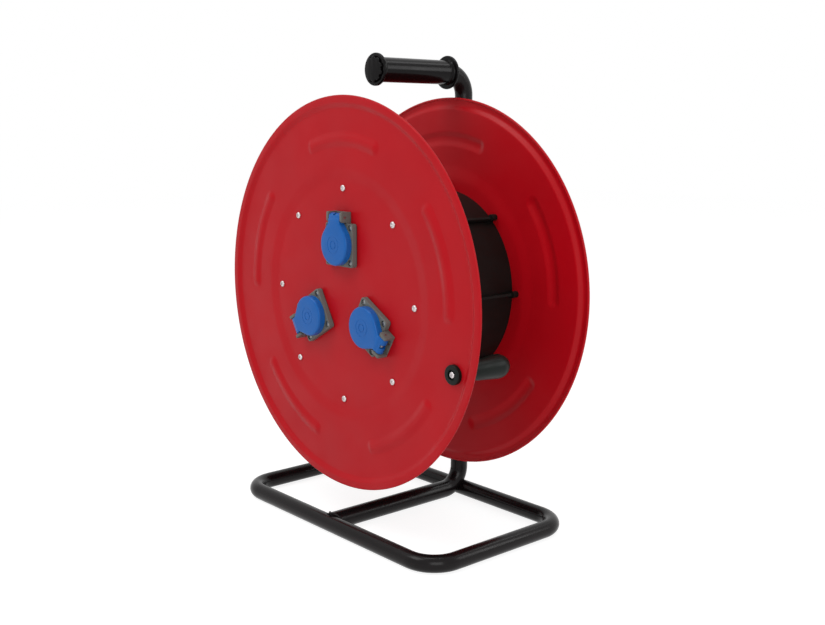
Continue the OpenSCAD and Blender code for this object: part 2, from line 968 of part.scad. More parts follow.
module crank_bush() {
    ring_top = crank_seat + crank_bush_h;
    color("#222222")
        at_crank()
            difference() {
                union() {
                    translate([0, 0, crank_back])
                        cylinder(r = crank_spigot_r, h = sheet + cut);
                    translate([0, 0, crank_seat])
                        cylinder(r = crank_bush_r, h = crank_bush_h - crank_edge_r);
                    translate([0, 0, ring_top - crank_edge_r])
                        cylinder(r1 = crank_bush_r, r2 = crank_bush_r - crank_edge_r, h = crank_edge_r);
                }
                translate([0, 0, crank_back - cut])
                    cylinder(r = crank_screw_r + screw_play, h = crank_bush_h + sheet + 2 * cut);
                translate([0, 0, ring_top - crank_recess_depth])
                    cylinder(r = crank_recess_r, h = crank_recess_depth + cut);
            }
}

module crank_washer() {
    color("silver")
        at_crank()
            ring(crank_washer_r, crank_screw_r + screw_play, spindle_front, crank_back);
}

module crank_spindle() {
    color("silver")
        at_crank()
            difference() {
                translate([0, 0, spindle_front - spindle_len])
                    cylinder(r = spindle_r, h = spindle_len);
                translate([0, 0, spindle_front - crank_screw_len])
                    cylinder(r = crank_screw_r, h = crank_screw_len + cut);
                ring(spindle_r + cut, spindle_r - snap_ring_bite, snap_ring_z, snap_ring_z + snap_ring_t);
            }
}

module crank_screw() {
    seat = crank_seat + crank_bush_h - crank_recess_depth;
    color("gainsboro")
        at_crank()
            translate([0, 0, seat])
                pan_screw(crank_screw_head_r, crank_screw_head_h, crank_screw_r,
                          seat - spindle_front + crank_screw_len - crank_screw_tip_gap);
}

module crank_snap_ring() {
    color("dimgray")
        at_crank()
            difference() {
                ring(snap_ring_r, spindle_r - snap_ring_bite, snap_ring_z, snap_ring_z + snap_ring_t);
                translate([-1.5, 0, snap_ring_z - cut])
                    cube([3, snap_ring_r + cut, snap_ring_t + 2 * cut]);
            }
}

// The grip widens to its rounded end, which is half an ellipse
module crank_grip() {
    taper_len = crank_grip_len - crank_dome_len;
    dome = [for (i = [0:dome_steps])
        let (a = 90 * i / dome_steps)
            [crank_grip_r1 * cos(a), -taper_len - crank_dome_len * sin(a)]];
    color("#2f3836")
        at_crank()
            translate([0, 0, grip_front])
                difference() {
                    rotate_extrude()
                        polygon(concat([[0, 0], [crank_grip_r0 - 1, 0], [crank_grip_r0, -1]], dome));
                    translate([0, 0, -grip_bore_len])
                        cylinder(r = spindle_r + running_gap, h = grip_bore_len + cut);
                    translate([0, 0, snap_ring_z - snap_groove_play - grip_front])
                        cylinder(r = snap_ring_r + snap_groove_play, h = snap_ring_t + 2 * snap_groove_play);
                }
}

// ---- Sockets, in a socket's own frame ----

module plate_corners() {
    for (x = [-1, 1], y = [-1, 1])
        translate([x * plate_screw_pitch / 2, y * plate_screw_pitch / 2, 0])
            children();
}

// A square plate with round corners
module rounded_plate(side, corner_r, z0, z1) {
    straight = side - 2 * corner_r;
    translate([0, 0, z0]) {
        translate([-side / 2, -straight / 2, 0])
            cube([side, straight, z1 - z0]);
        translate([-straight / 2, -side / 2, 0])
            cube([straight, side, z1 - z0]);
        for (x = [-1, 1], y = [-1, 1])
            translate([x * straight / 2, y * straight / 2, 0])
                cylinder(r = corner_r, h = z1 - z0);
    }
}

// A rod along the hinge's axis between two places on it
module hinge_rod(r, v0, v1) {
    translate([v0, hinge_u, hinge_w])
        rotate([0, 90, 0])
            cylinder(r = r, h = v1 - v0);
}

// The hinge ears' outline seen from the side: they stand a little off the plate's edge
module ear_outline() {
    inner_u = plate_half + ear_step;
    difference() {
        union() {
            translate([plate_half - ear_root, tongue_base])
                square([ear_u - plate_half + ear_root, plate_top - gasket_t]);
            translate([inner_u, tongue_base])
                square([ear_u - inner_u, ear_w - ear_inner_r - tongue_base]);
            translate([inner_u + ear_inner_r, ear_w - ear_inner_r])
                circle(r = ear_inner_r);
            translate([ear_u - ear_outer_r, ear_w - ear_outer_r])
                circle(r = ear_outer_r);
            translate([inner_u + ear_inner_r, tongue_base])
                square([ear_u - ear_outer_r - inner_u - ear_inner_r, ear_w - tongue_base]);
        }
        translate([ear_u - ear_outer_r, ear_w - ear_outer_r])
            difference() {
                square(ear_outer_r + cut);
                circle(r = ear_outer_r);
            }
    }
}

// Two ears that carry the hinge pin, joined by a thin tongue under the barrel
module hinge_ears() {
    for (s = [-1, 1])
        translate([s > 0 ? ear_v : -ear_v - ear_t, 0, 0])
            rotate([90, 0, 90])
                linear_extrude(ear_t)
                    ear_outline();
    translate([-ear_v - ear_t, plate_half - ear_root, tongue_base])
        cube([2 * (ear_v + ear_t), ear_u - plate_half + ear_root, tongue_t]);
}

// The fixed leg of the lid's spring, from the coil down into the tongue
module spring_leg(play) {
    translate([leg_v, hinge_u + spring_r, tongue_base - play])
        cylinder(r = leg_r + play, h = hinge_w - tongue_base + play);
}

module socket_body() {
    color("#77746f")
        difference() {
            union() {
                rounded_plate(plate_side, plate_corner_r, gasket_t, plate_top);
                translate([0, 0, -cup_back])
                    cylinder(r = cup_r, h = cup_back + plate_top);
                hinge_ears();
            }
            translate([0, 0, holder_back])
                cylinder(r = recess_r, h = plate_top - holder_back + cut);
            translate([0, 0, holder_back - ledge_t - cut])
                cylinder(r = recess_r - ledge_w, h = ledge_t + 2 * cut);
            translate([0, 0, -cup_back - cut])
                cylinder(r = recess_r, h = cup_back + cut + holder_back - ledge_t);
            plate_corners() {
                translate([0, 0, gasket_t - cut])
                    cylinder(r = small_screw_r + screw_play, h = plate_t + 2 * cut);
                translate([0, 0, plate_top - counterbore_depth])
                    cylinder(r = counterbore_r, h = counterbore_depth + cut);
            }
            hinge_rod(hinge_pin_r, -ear_v - ear_t - cut, ear_v + ear_t + cut);
            spring_leg(leg_play);
        }
}

module socket_gasket() {
    color("#1a1a1a")
        difference() {
            rounded_plate(plate_side - 1, plate_corner_r, 0, gasket_t);
            translate([0, 0, -cut])
                cylinder(r = cup_hole_r, h = gasket_t + 2 * cut);
            plate_corners()
                translate([0, 0, -cut])
                    cylinder(r = small_screw_r + screw_play, h = gasket_t + 2 * cut);
        }
}

module pin_places() {
    for (s = [-1, 1])
        translate([s * pin_pitch / 2, 0, 0])
            children();
}

module pin_holder() {
    color("#6f6c68")
        difference() {
            union() {
                translate([0, 0, holder_back])
                    cylinder(r = recess_r - holder_play, h = holder_t);
                pin_places()
                    translate([0, 0, sleeve_front - sleeve_len + 3])
                        cylinder(r = sleeve_boss_r, h = sleeve_len - 3);
            }
            pin_places() {
                translate([0, 0, sleeve_front - cut])
                    cylinder(r = pin_hole_r, h = holder_t);
                translate([0, 0, sleeve_front - sleeve_len - cut])
                    cylinder(r = sleeve_r, h = sleeve_len + cut);
            }
            for (s = [-1, 1])
                translate([-clip_w / 2 - clip_slot_play,
                           s * (clip_u + clip_t / 2) - clip_t / 2 - clip_slot_play, holder_back - cut])
                    cube([clip_w + 2 * clip_slot_play, clip_t + 2 * clip_slot_play, holder_t + 2 * cut]);
        }
}

// Two pin sleeves and the earth clip that bridges behind the holder
module contacts() {
    color("#b08d3c") {
        pin_places()
            ring(sleeve_r, pin_hole_r - 0.1, sleeve_front - sleeve_len, sleeve_front);
        for (s = [-1, 1])
            translate([-clip_w / 2, s * (clip_u + clip_t / 2) - clip_t / 2, holder_back - clip_t])
                cube([clip_w, clip_t, holder_t + clip_t + clip_rise]);
        translate([-clip_w / 2, -clip_u - clip_t, holder_back - clip_t])
            cube([clip_w, 2 * (clip_u + clip_t), clip_t]);
    }
}

// The lid's disc in half section
module lid_section() {
    square([lid_r, lid_h - lid_edge_r]);
    square([lid_r - lid_edge_r, lid_h]);
    translate([lid_r - lid_edge_r, lid_h - lid_edge_r])
        circle(r = lid_edge_r);
}

// The lid's neck: a flared outline seen from the front, cut to its outline seen from the side
module lid_neck() {
    half_neck = neck_w / 2;
    intersection() {
        linear_extrude(lid_top)
            polygon([[-half_neck, hinge_u], [-half_neck, neck_straight_u],
                     [-half_flare, neck_flare_u], [half_flare, neck_flare_u],
                     [half_neck, neck_straight_u], [half_neck, hinge_u]]);
        translate([-half_flare, 0, 0])
            rotate([90, 0, 90])
                linear_extrude(2 * half_flare)
                    polygon([[neck_flare_u, neck_floor], [hinge_u, neck_floor],
                             [hinge_u, hinge_w + lid_barrel_r], [neck_drop_u, neck_top],
                             [neck_flare_u, neck_top]]);
    }
}

module socket_lid() {
    half_neck = neck_w / 2;
    color("#2f6bb3")
        difference() {
            union() {
                translate([0, 0, lid_floor])
                    rotate_extrude()
                        intersection() {
                            lid_section();
                            square([lid_r, lid_h]);
                        }
                lid_neck();
                hinge_rod(lid_barrel_r, -half_neck, half_neck);
            }
            translate([0, 0, lid_floor - cut])
                cylinder(r = lid_r - lid_wall, h = lid_h - lid_wall + cut);
            hinge_rod(hinge_pin_r + running_gap, -half_neck - cut, half_neck + cut);
            hinge_rod(spring_pocket_r, -spring_slot_w / 2, spring_slot_w / 2);
            translate([-spring_slot_w / 2, hinge_u, 0])
                cube([spring_slot_w, lid_barrel_r + cut, spring_slot_top]);
            translate([0, 0, lid_top])
                ring(mark_r, mark_r - mark_w, -mark_depth, cut);
        }
}

module lid_seal() {
    color("#141414")
        ring(lid_r - lid_wall, lid_r - lid_wall - seal_w, lid_floor, lid_floor + seal_h);
}

module hinge_pin() {
    color("silver")
        hinge_rod(hinge_pin_r, -ear_v - ear_t, ear_v + ear_t);
}

// A close-wound torsion spring on the hinge pin
module lid_spring() {
    color("gainsboro") {
        translate([leg_v, hinge_u, hinge_w])
            rotate([0, 90, 0])
                rotate_extrude()
                    for (i = [0:spring_turns - 1])
                        translate([spring_r, i * spring_pitch])
                            circle(r = spring_wire_r);
        spring_leg(0);
    }
}

module socket_screws() {
    color("gainsboro")
        for (i = [0:2])
            at_socket(i)
                plate_corners()
                    translate([0, 0, plate_top - counterbore_depth])
                        pan_screw(small_head_r, small_head_h, small_screw_r, small_screw_len);
}

module socket_nuts() {
    color("silver")
        for (i = [0:2])
            at_socket(i)
                plate_corners()
                    translate([0, 0, -sheet - small_nut_h])
                        difference() {
                            cylinder(r = small_nut_r, h = small_nut_h, $fn = 6);
                            translate([0, 0, -cut])
                                cylinder(r = small_screw_r, h = small_nut_h + 2 * cut);
                        }
}

module terminal_covers() {
    color("#6f6c68")
        for (i = [0:2])
            at_socket(i)
                ring(cup_r, lead_r, -cup_back - cover_t, -cup_back);
}

// ---- Nodes ----

base_loop();
post_tube();
axle();
carry_grip();
grip_end_cap();
rear_thrust_washer();
front_thrust_washer();
axle_circlip();
front_flange();
rear_flange();
drum_core();
front_flange_screws();
rear_flange_screws();
drum_hub();
hub_bolts();
hub_nuts();
rear_bush();
front_bush();
gland_body();
gland_seal();
gland_nut();
gland_locknut();
terminal_block();
internal_lead();
crank_bush();
crank_washer();
crank_spindle();
crank_screw();
crank_snap_ring();
crank_grip();
for (i = [0:2]) {
    name = socket_names[i];
    at_socket(i) socket_body();
    at_socket(i) socket_gasket();
    at_socket(i) pin_holder();
    at_socket(i) contacts();
    at_socket(i) socket_lid();
    at_socket(i) lid_seal();
    at_socket(i) hinge_pin();
    at_socket(i) lid_spring();
}
socket_screws();
socket_nuts();
terminal_covers();
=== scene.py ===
"""Looks of a cord reel on a bent-tube stand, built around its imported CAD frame.

Lengths are in millimetres until they reach a mesh. The drum's own frame has its origin where
the axis crosses the front rim's plane, +z out of the sockets' side and +y up.
"""

import json
import logging
import math
from dataclasses import dataclass, field
from enum import Enum
from typing import Any, Callable, ClassVar, Iterable, Sequence

import bmesh
import bpy
from mathutils import Matrix, Vector


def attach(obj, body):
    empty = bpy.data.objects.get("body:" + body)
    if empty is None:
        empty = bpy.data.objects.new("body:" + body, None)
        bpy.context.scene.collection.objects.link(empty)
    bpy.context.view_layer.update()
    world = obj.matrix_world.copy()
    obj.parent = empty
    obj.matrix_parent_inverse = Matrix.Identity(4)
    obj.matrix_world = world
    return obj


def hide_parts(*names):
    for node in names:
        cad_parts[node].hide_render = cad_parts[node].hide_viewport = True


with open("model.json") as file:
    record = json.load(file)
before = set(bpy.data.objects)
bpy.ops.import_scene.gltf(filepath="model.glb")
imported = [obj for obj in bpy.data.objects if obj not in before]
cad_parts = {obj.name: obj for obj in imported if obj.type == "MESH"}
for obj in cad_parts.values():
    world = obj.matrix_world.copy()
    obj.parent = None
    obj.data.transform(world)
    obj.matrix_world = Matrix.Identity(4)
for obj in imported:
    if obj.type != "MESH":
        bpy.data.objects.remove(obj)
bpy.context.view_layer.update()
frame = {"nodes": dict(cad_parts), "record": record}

MM = 0.001
SAME_PLACE = 1e-7  # metres
CLOSE = 0.01  # how near to a place a mesh part counts as at it
ALONG = 0.9  # from this share of its length an edge counts as running along an axis
CORNER_SHARE = 0.45  # how much of a line one corner's rounding may take up
BUSY_NOISE = (0.3, 0.7)  # the range that holds most of a noise's values
DRIFT_SHARE = 0.4  # gloss drifts over patches this much the size of the colour's clouds
COLOUR_A, COLOUR_B, COLOUR_OUT = 6, 7, 2  # a mix node's sockets that carry colours
Point = Sequence[float]
Test = Callable[[Vector, Vector], bool]
log = logging.getLogger("cord_reel")


class Pick(Enum):
    """The kinds of mesh parts that a tool works on."""

    VERT = "VERT"
    EDGE = "EDGE"


class Body(Enum):
    """The rigid bodies of the reel."""

    STAND = "stand"
    DRUM = "drum"
    GRIP = "winding_grip"


# ---- Outlines ----


def arc(centre: Point, radius: float, start: float, end: float, steps: int) -> list[Point]:
    """Points along an arc.

    Args:
        centre: the arc's centre in its plane.
        radius: the arc's radius.
        start: the angle of the first point, in degrees.
        end: the angle of the last point, in degrees.
        steps: the number of chords.

    Returns:
        The points, from start to end.
    """
    angles = [math.radians(start + (end - start) * i / steps) for i in range(steps + 1)]
    return [(centre[0] + radius * math.cos(a), centre[1] + radius * math.sin(a)) for a in angles]


def softened(outline: Sequence[Point], reach: float, steps: int = 4) -> list[Point]:
    """Rounds the inner corners of an open outline, as a press tool's radii do.

    Args:
        outline: the corner points.
        reach: how far from a corner its rounding starts.
        steps: the number of chords in a rounding.

    Returns:
        The outline with each inner corner replaced by a short curve.
    """
    soft = [outline[0]]
    for before, corner, after in zip(outline, outline[1:], outline[2:]):
        b, c, a = Vector(before), Vector(corner), Vector(after)
        near = min(reach, CORNER_SHARE * (c - b).length, CORNER_SHARE * (a - c).length)
        start, end = c + (b - c).normalized() * near, c + (a - c).normalized() * near
        for i in range(steps + 1):
            t = i / steps
            soft.append(tuple(start * (1 - t) ** 2 + c * 2 * t * (1 - t) + end * t * t))
    return soft + [outline[-1]]


def stepped(start: float, end: float, step: float) -> list[float]:
    """Even places from start to end, about a step apart, both ends included."""
    count = max(1, round(abs(end - start) / step))
    return [start + (end - start) * i / count for i in range(count + 1)]


# ---- The bench ----


class Workpiece:
    """One mesh under the tools. Its methods take millimetres and select by place."""

    def __init__(self, obj: bpy.types.Object) -> None:
        """Takes hold of an object that has just been added."""
        self.obj = obj

    @staticmethod
    def clear_bench() -> None:
        """Leaves edit mode and deselects everything."""
        if bpy.context.object is not None and bpy.context.object.mode != "OBJECT":
            bpy.ops.object.mode_set(mode="OBJECT")
        bpy.ops.object.select_all(action="DESELECT")

    @classmethod
    def added(cls, name: str) -> "Workpiece":
        """The primitive that was just added, named and with its place in its mesh.

        Args:
            name: the piece's name.

        Returns:
            The new piece.
        """
        obj = bpy.context.active_object
        obj.name = obj.data.name = name
        bpy.ops.object.transform_apply(location=True, rotation=True, scale=True)
        return cls(obj)

    @classmethod
    def block(cls, name: str, low: Point, high: Point) -> "Workpiece":
        """A block between two corners.

        Args:
            name: the piece's name.
            low: the lower corner.
            high: the upper corner.

        Returns:
            The block.
        """
        cls.clear_bench()
        a, b = Vector(low) * MM, Vector(high) * MM
        bpy.ops.mesh.primitive_cube_add(size=1, location=(a + b) / 2, scale=b - a)
        return cls.added(name)

    @classmethod
    def rod(cls, name: str, radius: float, z: tuple[float, float], sides: int = 48) -> "Workpiece":
        """A rod along z between two heights.

        Args:
            name: the piece's name.
            radius: the rod's radius.
            z: the heights of its two ends.
            sides: the number of sides.

        Returns:
            The rod.
        """
        cls.clear_bench()
        bpy.ops.mesh.primitive_cylinder_add(
            vertices=sides,
            radius=radius * MM,
            depth=(z[1] - z[0]) * MM,
            location=(0, 0, (z[0] + z[1]) / 2 * MM),
        )
        return cls.added(name)

    @classmethod
    def hoop(cls, name: str, radius: float, centre: Point, turn: Point, sides: int) -> "Workpiece":
        """An open circle, all selected, for sweeping along a tube's path.

        Args:
            name: the piece's name.
            radius: the circle's radius.
            centre: the centre.
            turn: how far the circle is turned about each axis, in degrees.
            sides: the number of sides.

        Returns:
            The circle, in edit mode.
        """
        cls.clear_bench()
        bpy.ops.mesh.primitive_circle_add(
            vertices=sides,
            radius=radius * MM,
            location=Vector(centre) * MM,
            rotation=[math.radians(a) for a in turn],
        )
        piece = cls.added(name)
        piece.everything()
        return piece

    @classmethod
    def traced(cls, name: str, points: Sequence[Point], closed: bool = False) -> "Workpiece":
        """A wire drawn from point to point.

        Args:
            name: the piece's name.
            points: the wire's points, three numbers each.
            closed: whether the last point is joined to the first.

        Returns:
            The wire, all selected in edit mode.
        """
        cls.clear_bench()
        places = [Vector(p) * MM for p in points]
        bpy.ops.mesh.primitive_plane_add(size=MM, location=places[0])
        piece = cls.added(name)
        piece.everything()
        bpy.ops.mesh.merge(type="CENTER")
        for here, there in zip(places, places[1:]):
            bpy.ops.mesh.extrude_vertices_move(
                TRANSFORM_OT_translate={"value": there - here}
            )
        if closed:
            ends = (places[0], places[-1])
            piece.pick(Pick.VERT, lambda p, n: any((p * MM - e).length < SAME_PLACE for e in ends))
            bpy.ops.mesh.edge_face_add()
        piece.everything()
        return piece

    @classmethod
    def turned(
        cls, name: str, section: Sequence[Point], steps: int = 96, closed: bool = False
    ) -> "Workpiece":
        """A body turned about z from its half section.

        Args:
            name: the piece's name.
            section: the half section's points, each a radius and a height.
            steps: the number of faces around.
            closed: whether the section's last point is joined to its first.

        Returns:
            The turned body, with its doubles merged and its faces outwards.
        """
        piece = cls.traced(name, [(r, 0, z) for r, z in section], closed)
        piece.spin(360, steps, (0, 0, 0), (0, 0, 1))
        piece.tidied()
        return piece

    # -- selecting --

    def edit(self) -> bmesh.types.BMesh:
        """Opens this mesh alone in edit mode and returns its editing mesh.

        Returns:
            The editing mesh.
        """
        if bpy.context.object is not self.obj or self.obj.mode != "EDIT":
            self.clear_bench()
            self.obj.select_set(True)
            bpy.context.view_layer.objects.active = self.obj
            bpy.ops.object.mode_set(mode="EDIT")
        return bmesh.from_edit_mesh(self.obj.data)

    def everything(self) -> None:
        """Selects the whole mesh."""
        self.edit()
        bpy.ops.mesh.select_mode(type="VERT")
        bpy.ops.mesh.select_all(action="SELECT")

    def pick(self, kind: Pick, test: Test) -> int:
        """Selects by place.

        Args:
            kind: vertices or edges.
            test: takes a vertex's place and normal, or an edge's middle and direction, in
                millimetres, and says whether it is wanted.

        Returns:
            The number of parts selected.
        """
        self.edit()
        bpy.ops.mesh.select_mode(type=kind.value)
        bpy.ops.mesh.select_all(action="DESELECT")
        mesh = bmesh.from_edit_mesh(self.obj.data)
        found = 0
        if kind is Pick.VERT:
            parts = [(v, v.co, v.normal) for v in mesh.verts]
        else:
            ends = [(e, e.verts[0].co, e.verts[1].co) for e in mesh.edges]
            parts = [(e, (a + b) / 2, (b - a).normalized()) for e, a, b in ends]
        for part, middle, way in parts:
            if test(middle / MM, way):
                part.select = True
                found += 1
        mesh.select_flush_mode()
        bmesh.update_edit_mesh(self.obj.data)
        return found

    # -- shaping what is selected --

    def move(self, way: Point, soft_reach: float = 0) -> None:
        """Moves the selection, drawing its neighbours along within a reach.

        Args:
            way: the way to move.
            soft_reach: how far the move fades out around the selection, 0 for not at all.
        """
        settings: dict[str, Any] = {"value": Vector(way) * MM}
        if soft_reach:
            settings.update(
                use_proportional_edit=True,
                proportional_edit_falloff="SMOOTH",
                proportional_size=soft_reach * MM,
            )
        bpy.ops.transform.translate(**settings)

    def resize(self, factors: Point, centre: Point) -> None:
        """Scales the selection about a centre."""
        bpy.ops.transform.resize(value=factors, center_override=Vector(centre) * MM)

    def extrude(self, way: Point) -> None:
        """Extrudes the selection."""
        bpy.ops.mesh.extrude_region_move(TRANSFORM_OT_translate={"value": Vector(way) * MM})

    def bevel(self, width: float, segments: int = 3) -> None:
        """Rounds the selected edges."""
        bpy.ops.mesh.bevel(offset=width * MM, segments=segments, profile=0.5, clamp_overlap=True)

    def spin(self, angle: float, steps: int, centre: Point, axis: Point) -> None:
        """Sweeps the selection around an axis, by the right-hand rule.

        Args:
            angle: how far to sweep, in degrees.
            steps: the number of steps.
            centre: a point on the axis.
            axis: the axis to sweep around.
        """
        bpy.ops.mesh.spin(
            steps=steps,
            angle=-math.radians(angle),
            center=Vector(centre) * MM,
            axis=axis,
            use_auto_merge=False,
        )

    def fill(self) -> None:
        """Fills the selected loop with a face."""
        bpy.ops.mesh.edge_face_add()

    def bisect(self, place: Point, normal: Point) -> None:
        """Cuts the whole mesh along a plane and keeps both sides."""
        self.everything()
        bpy.ops.mesh.bisect(plane_co=Vector(place) * MM, plane_no=normal)

    def tidied(self, reach: float = 0.002) -> "Workpiece":
        """Merges doubles and turns the faces outwards.

        Args:
            reach: how close two points are merged.

        Returns:
            This piece.
        """
        self.everything()
        bpy.ops.mesh.remove_doubles(threshold=reach * MM)
        self.everything()
        bpy.ops.mesh.normals_make_consistent(inside=False)
        return self

    # -- whole piece --

    def select(self) -> bpy.types.Object:
        """Selects this object alone, in object mode.

        Returns:
            The object.
        """
        self.clear_bench()
        self.obj.select_set(True)
        bpy.context.view_layer.objects.active = self.obj
        return self.obj

    def modified(self, kind: str, **settings: Any) -> "Workpiece":
        """Adds a modifier and applies it.

        Args:
            kind: the modifier's type.
            settings: the modifier's own settings.

        Returns:
            This piece.
        """
        self.select()
        bpy.ops.object.modifier_add(type=kind)
        modifier = self.obj.modifiers[-1]
        for name, value in settings.items():
            setattr(modifier, name, value)
        bpy.ops.object.modifier_apply(modifier=modifier.name)
        return self

    def rounded(self, width: float, segments: int = 2, angle: float = 35) -> "Workpiece":
        """Rounds every edge that is sharper than an angle.

        Args:
            width: the width of the rounding.
            segments: the number of faces across the rounding.
            angle: the angle between two faces from which an edge is rounded, in degrees.

        Returns:
            This piece.
        """
        return self.modified(
            "BEVEL",
            width=width * MM,
            segments=segments,
            limit_method="ANGLE",
            angle_limit=math.radians(angle),
            harden_normals=False,
        )

    def cut_by(self, *cutters: "Workpiece") -> "Workpiece":
        """Takes the cutters' shapes out of this piece and clears them away.

        Args:
            cutters: the pieces whose shape is taken out.

        Returns:
            This piece.
        """
        for cutter in cutters:
            cutter.tidied()
            self.modified("BOOLEAN", operation="DIFFERENCE", object=cutter.obj, solver="EXACT")
            bpy.data.objects.remove(cutter.obj)
        return self

    def fused_with(self, *others: "Workpiece") -> "Workpiece":
        """Fuses other shapes into this piece.

        Args:
            others: the pieces that are joined in.

        Returns:
            This piece.
        """
        for other in others:
            other.tidied()
            self.modified("BOOLEAN", operation="UNION", object=other.obj, solver="EXACT")
            bpy.data.objects.remove(other.obj)
        return self

    def joined_with(self, others: Iterable["Workpiece"]) -> "Workpiece":
        """Makes this piece and others one object, each shell as it is.

        Args:
            others: the pieces that are joined in.

        Returns:
            This piece.
        """
        others = list(others)
        self.select()
        for other in others:
            other.obj.select_set(True)
        bpy.ops.object.join()
        return self

    def copied(self, name: str, place: Matrix = Matrix.Identity(4)) -> "Workpiece":
        """A copy with its own mesh, put in place.

        Args:
            name: the copy's name.
            place: where the copy goes, as a matrix in metres.

        Returns:
            The copy.
        """
        self.select()
        bpy.ops.object.duplicate()
        copy = Workpiece(bpy.context.active_object)
        copy.obj.name = copy.obj.data.name = name
        return copy.placed(place)

    def placed(self, place: Matrix) -> "Workpiece":
        """Moves the mesh itself to its place.

        Args:
            place: the place to move to.

        Returns:
            This piece.
        """
        self.select()
        self.obj.matrix_world = place
        bpy.ops.object.transform_apply(location=True, rotation=True, scale=True)
        if place.determinant() < 0:
            self.tidied()
        return self

    def smooth(self, angle: float = 30) -> "Workpiece":
        """Shades smooth, with edges sharper than an angle kept crisp.

        Args:
            angle: the angle between two faces above which an edge stays crisp, in degrees.

        Returns:
            This piece.
        """
        self.select()
        bpy.ops.object.shade_smooth_by_angle(angle=math.radians(angle))
        return self

    def handed_over(self, body: str, finish: "Finish", nodes: Sequence[str]) -> bpy.types.Object:
        """Dresses the piece and puts it in the place of its CAD nodes.

        Args:
            body: the body it rides on.
            finish: its finish, which also names its material slot.
            nodes: the CAD nodes that it stands for.

        Returns:
            The finished object.
        """
        self.select()
        self.obj.data.materials.clear()
        self.obj.data.materials.append(finish.material())
        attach(self.obj, body)
        if nodes:
            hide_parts(*nodes)
        log.info("%s rides on %s: %d faces", self.obj.name, body, len(self.obj.data.polygons))
        return self.obj


# ---- Finishes ----


def linear(colour: Point) -> tuple[float, float, float, float]:
    """A screen colour of 0 to 255 as the linear colour that a shader takes.

    Args:
        colour: red, green and blue, 0 to 255.

    Returns:
        The linear colour with full alpha.
    """
    parts = [c / 255 for c in colour]
    lin = [c / 12.92 if c <= 0.04045 else ((c + 0.055) / 1.055) ** 2.4 for c in parts]
    return (lin[0], lin[1], lin[2], 1.0)


def grey(level: float) -> tuple[float, float, float, float]:
    """A linear grey of a level from 0 to 1, with full alpha."""
    return (level, level, level, 1.0)


class Wiring:
    """A material's nodes and the links between them."""

    def __init__(self, material: bpy.types.Material | bpy.types.World) -> None:
        """Clears the material's tree for new nodes.

        Args:
            material: the material or world whose tree is filled.
        """
        material.use_nodes = True
        self.tree = material.node_tree
        self.tree.nodes.clear()

    def add(
        self, kind: str, settings: dict[str, Any] | None = None, **inputs: Any
    ) -> bpy.types.Node:
        """Adds a node.

        Args:
            kind: the node's type.
            settings: properties of the node itself.
            inputs: socket values or links; an underscore stands for a space.

        Returns:
            The node.
        """
        node = self.tree.nodes.new(kind)
        for name, value in (settings or {}).items():
            setattr(node, name, value)
        for name, value in inputs.items():
            self.feed(node, name.replace("_", " "), value)
        return node

    def feed(self, node: bpy.types.Node, name: str, value: Any) -> None:
        """Sets a socket, or links an output to it.

        Args:
            node: the node that is fed.
            name: the name of its socket.
            value: a number, a colour or another node's output.
        """
        socket = node.inputs[name]
        if isinstance(value, bpy.types.NodeSocket):
            self.tree.links.new(value, socket)
        else:
            socket.default_value = value

    def noise(
        self, place: bpy.types.NodeSocket, size: float, detail: float = 3
    ) -> bpy.types.NodeSocket:
        """Soft noise whose features are about a size in millimetres."""
        node = self.add("ShaderNodeTexNoise", Vector=place, Scale=1 / (size * MM), Detail=detail)
        return node.outputs["Fac"]

    def spread(self, value: bpy.types.NodeSocket, low: float, high: float) -> bpy.types.NodeSocket:
        """Maps the busy middle of a noise to a range.

        Args:
            value: the noise.
            low: the lowest value that comes out.
            high: the highest value that comes out.

        Returns:
            The mapped value.
        """
        node = self.add("ShaderNodeMapRange", Value=value)
        node.inputs["From Min"].default_value = BUSY_NOISE[0]
        node.inputs["From Max"].default_value = BUSY_NOISE[1]
        node.inputs["To Min"].default_value = low
        node.inputs["To Max"].default_value = high
        return node.outputs["Result"]

    def mixed(self, amount: bpy.types.NodeSocket, first: Any, second: Any) -> bpy.types.NodeSocket:
        """One colour into another by an amount.

        Args:
            amount: how much of the second colour shows.
            first: the first colour.
            second: the second colour.

        Returns:
            The mixed colour.
        """
        node = self.tree.nodes.new("ShaderNodeMix")
        node.data_type = "RGBA"
        self.tree.links.new(amount, node.inputs["Factor"])
        for socket, value in ((node.inputs[COLOUR_A], first), (node.inputs[COLOUR_B], second)):
            if isinstance(value, bpy.types.NodeSocket):
                self.tree.links.new(value, socket)
            else:
                socket.default_value = value
        return node.outputs[COLOUR_OUT]


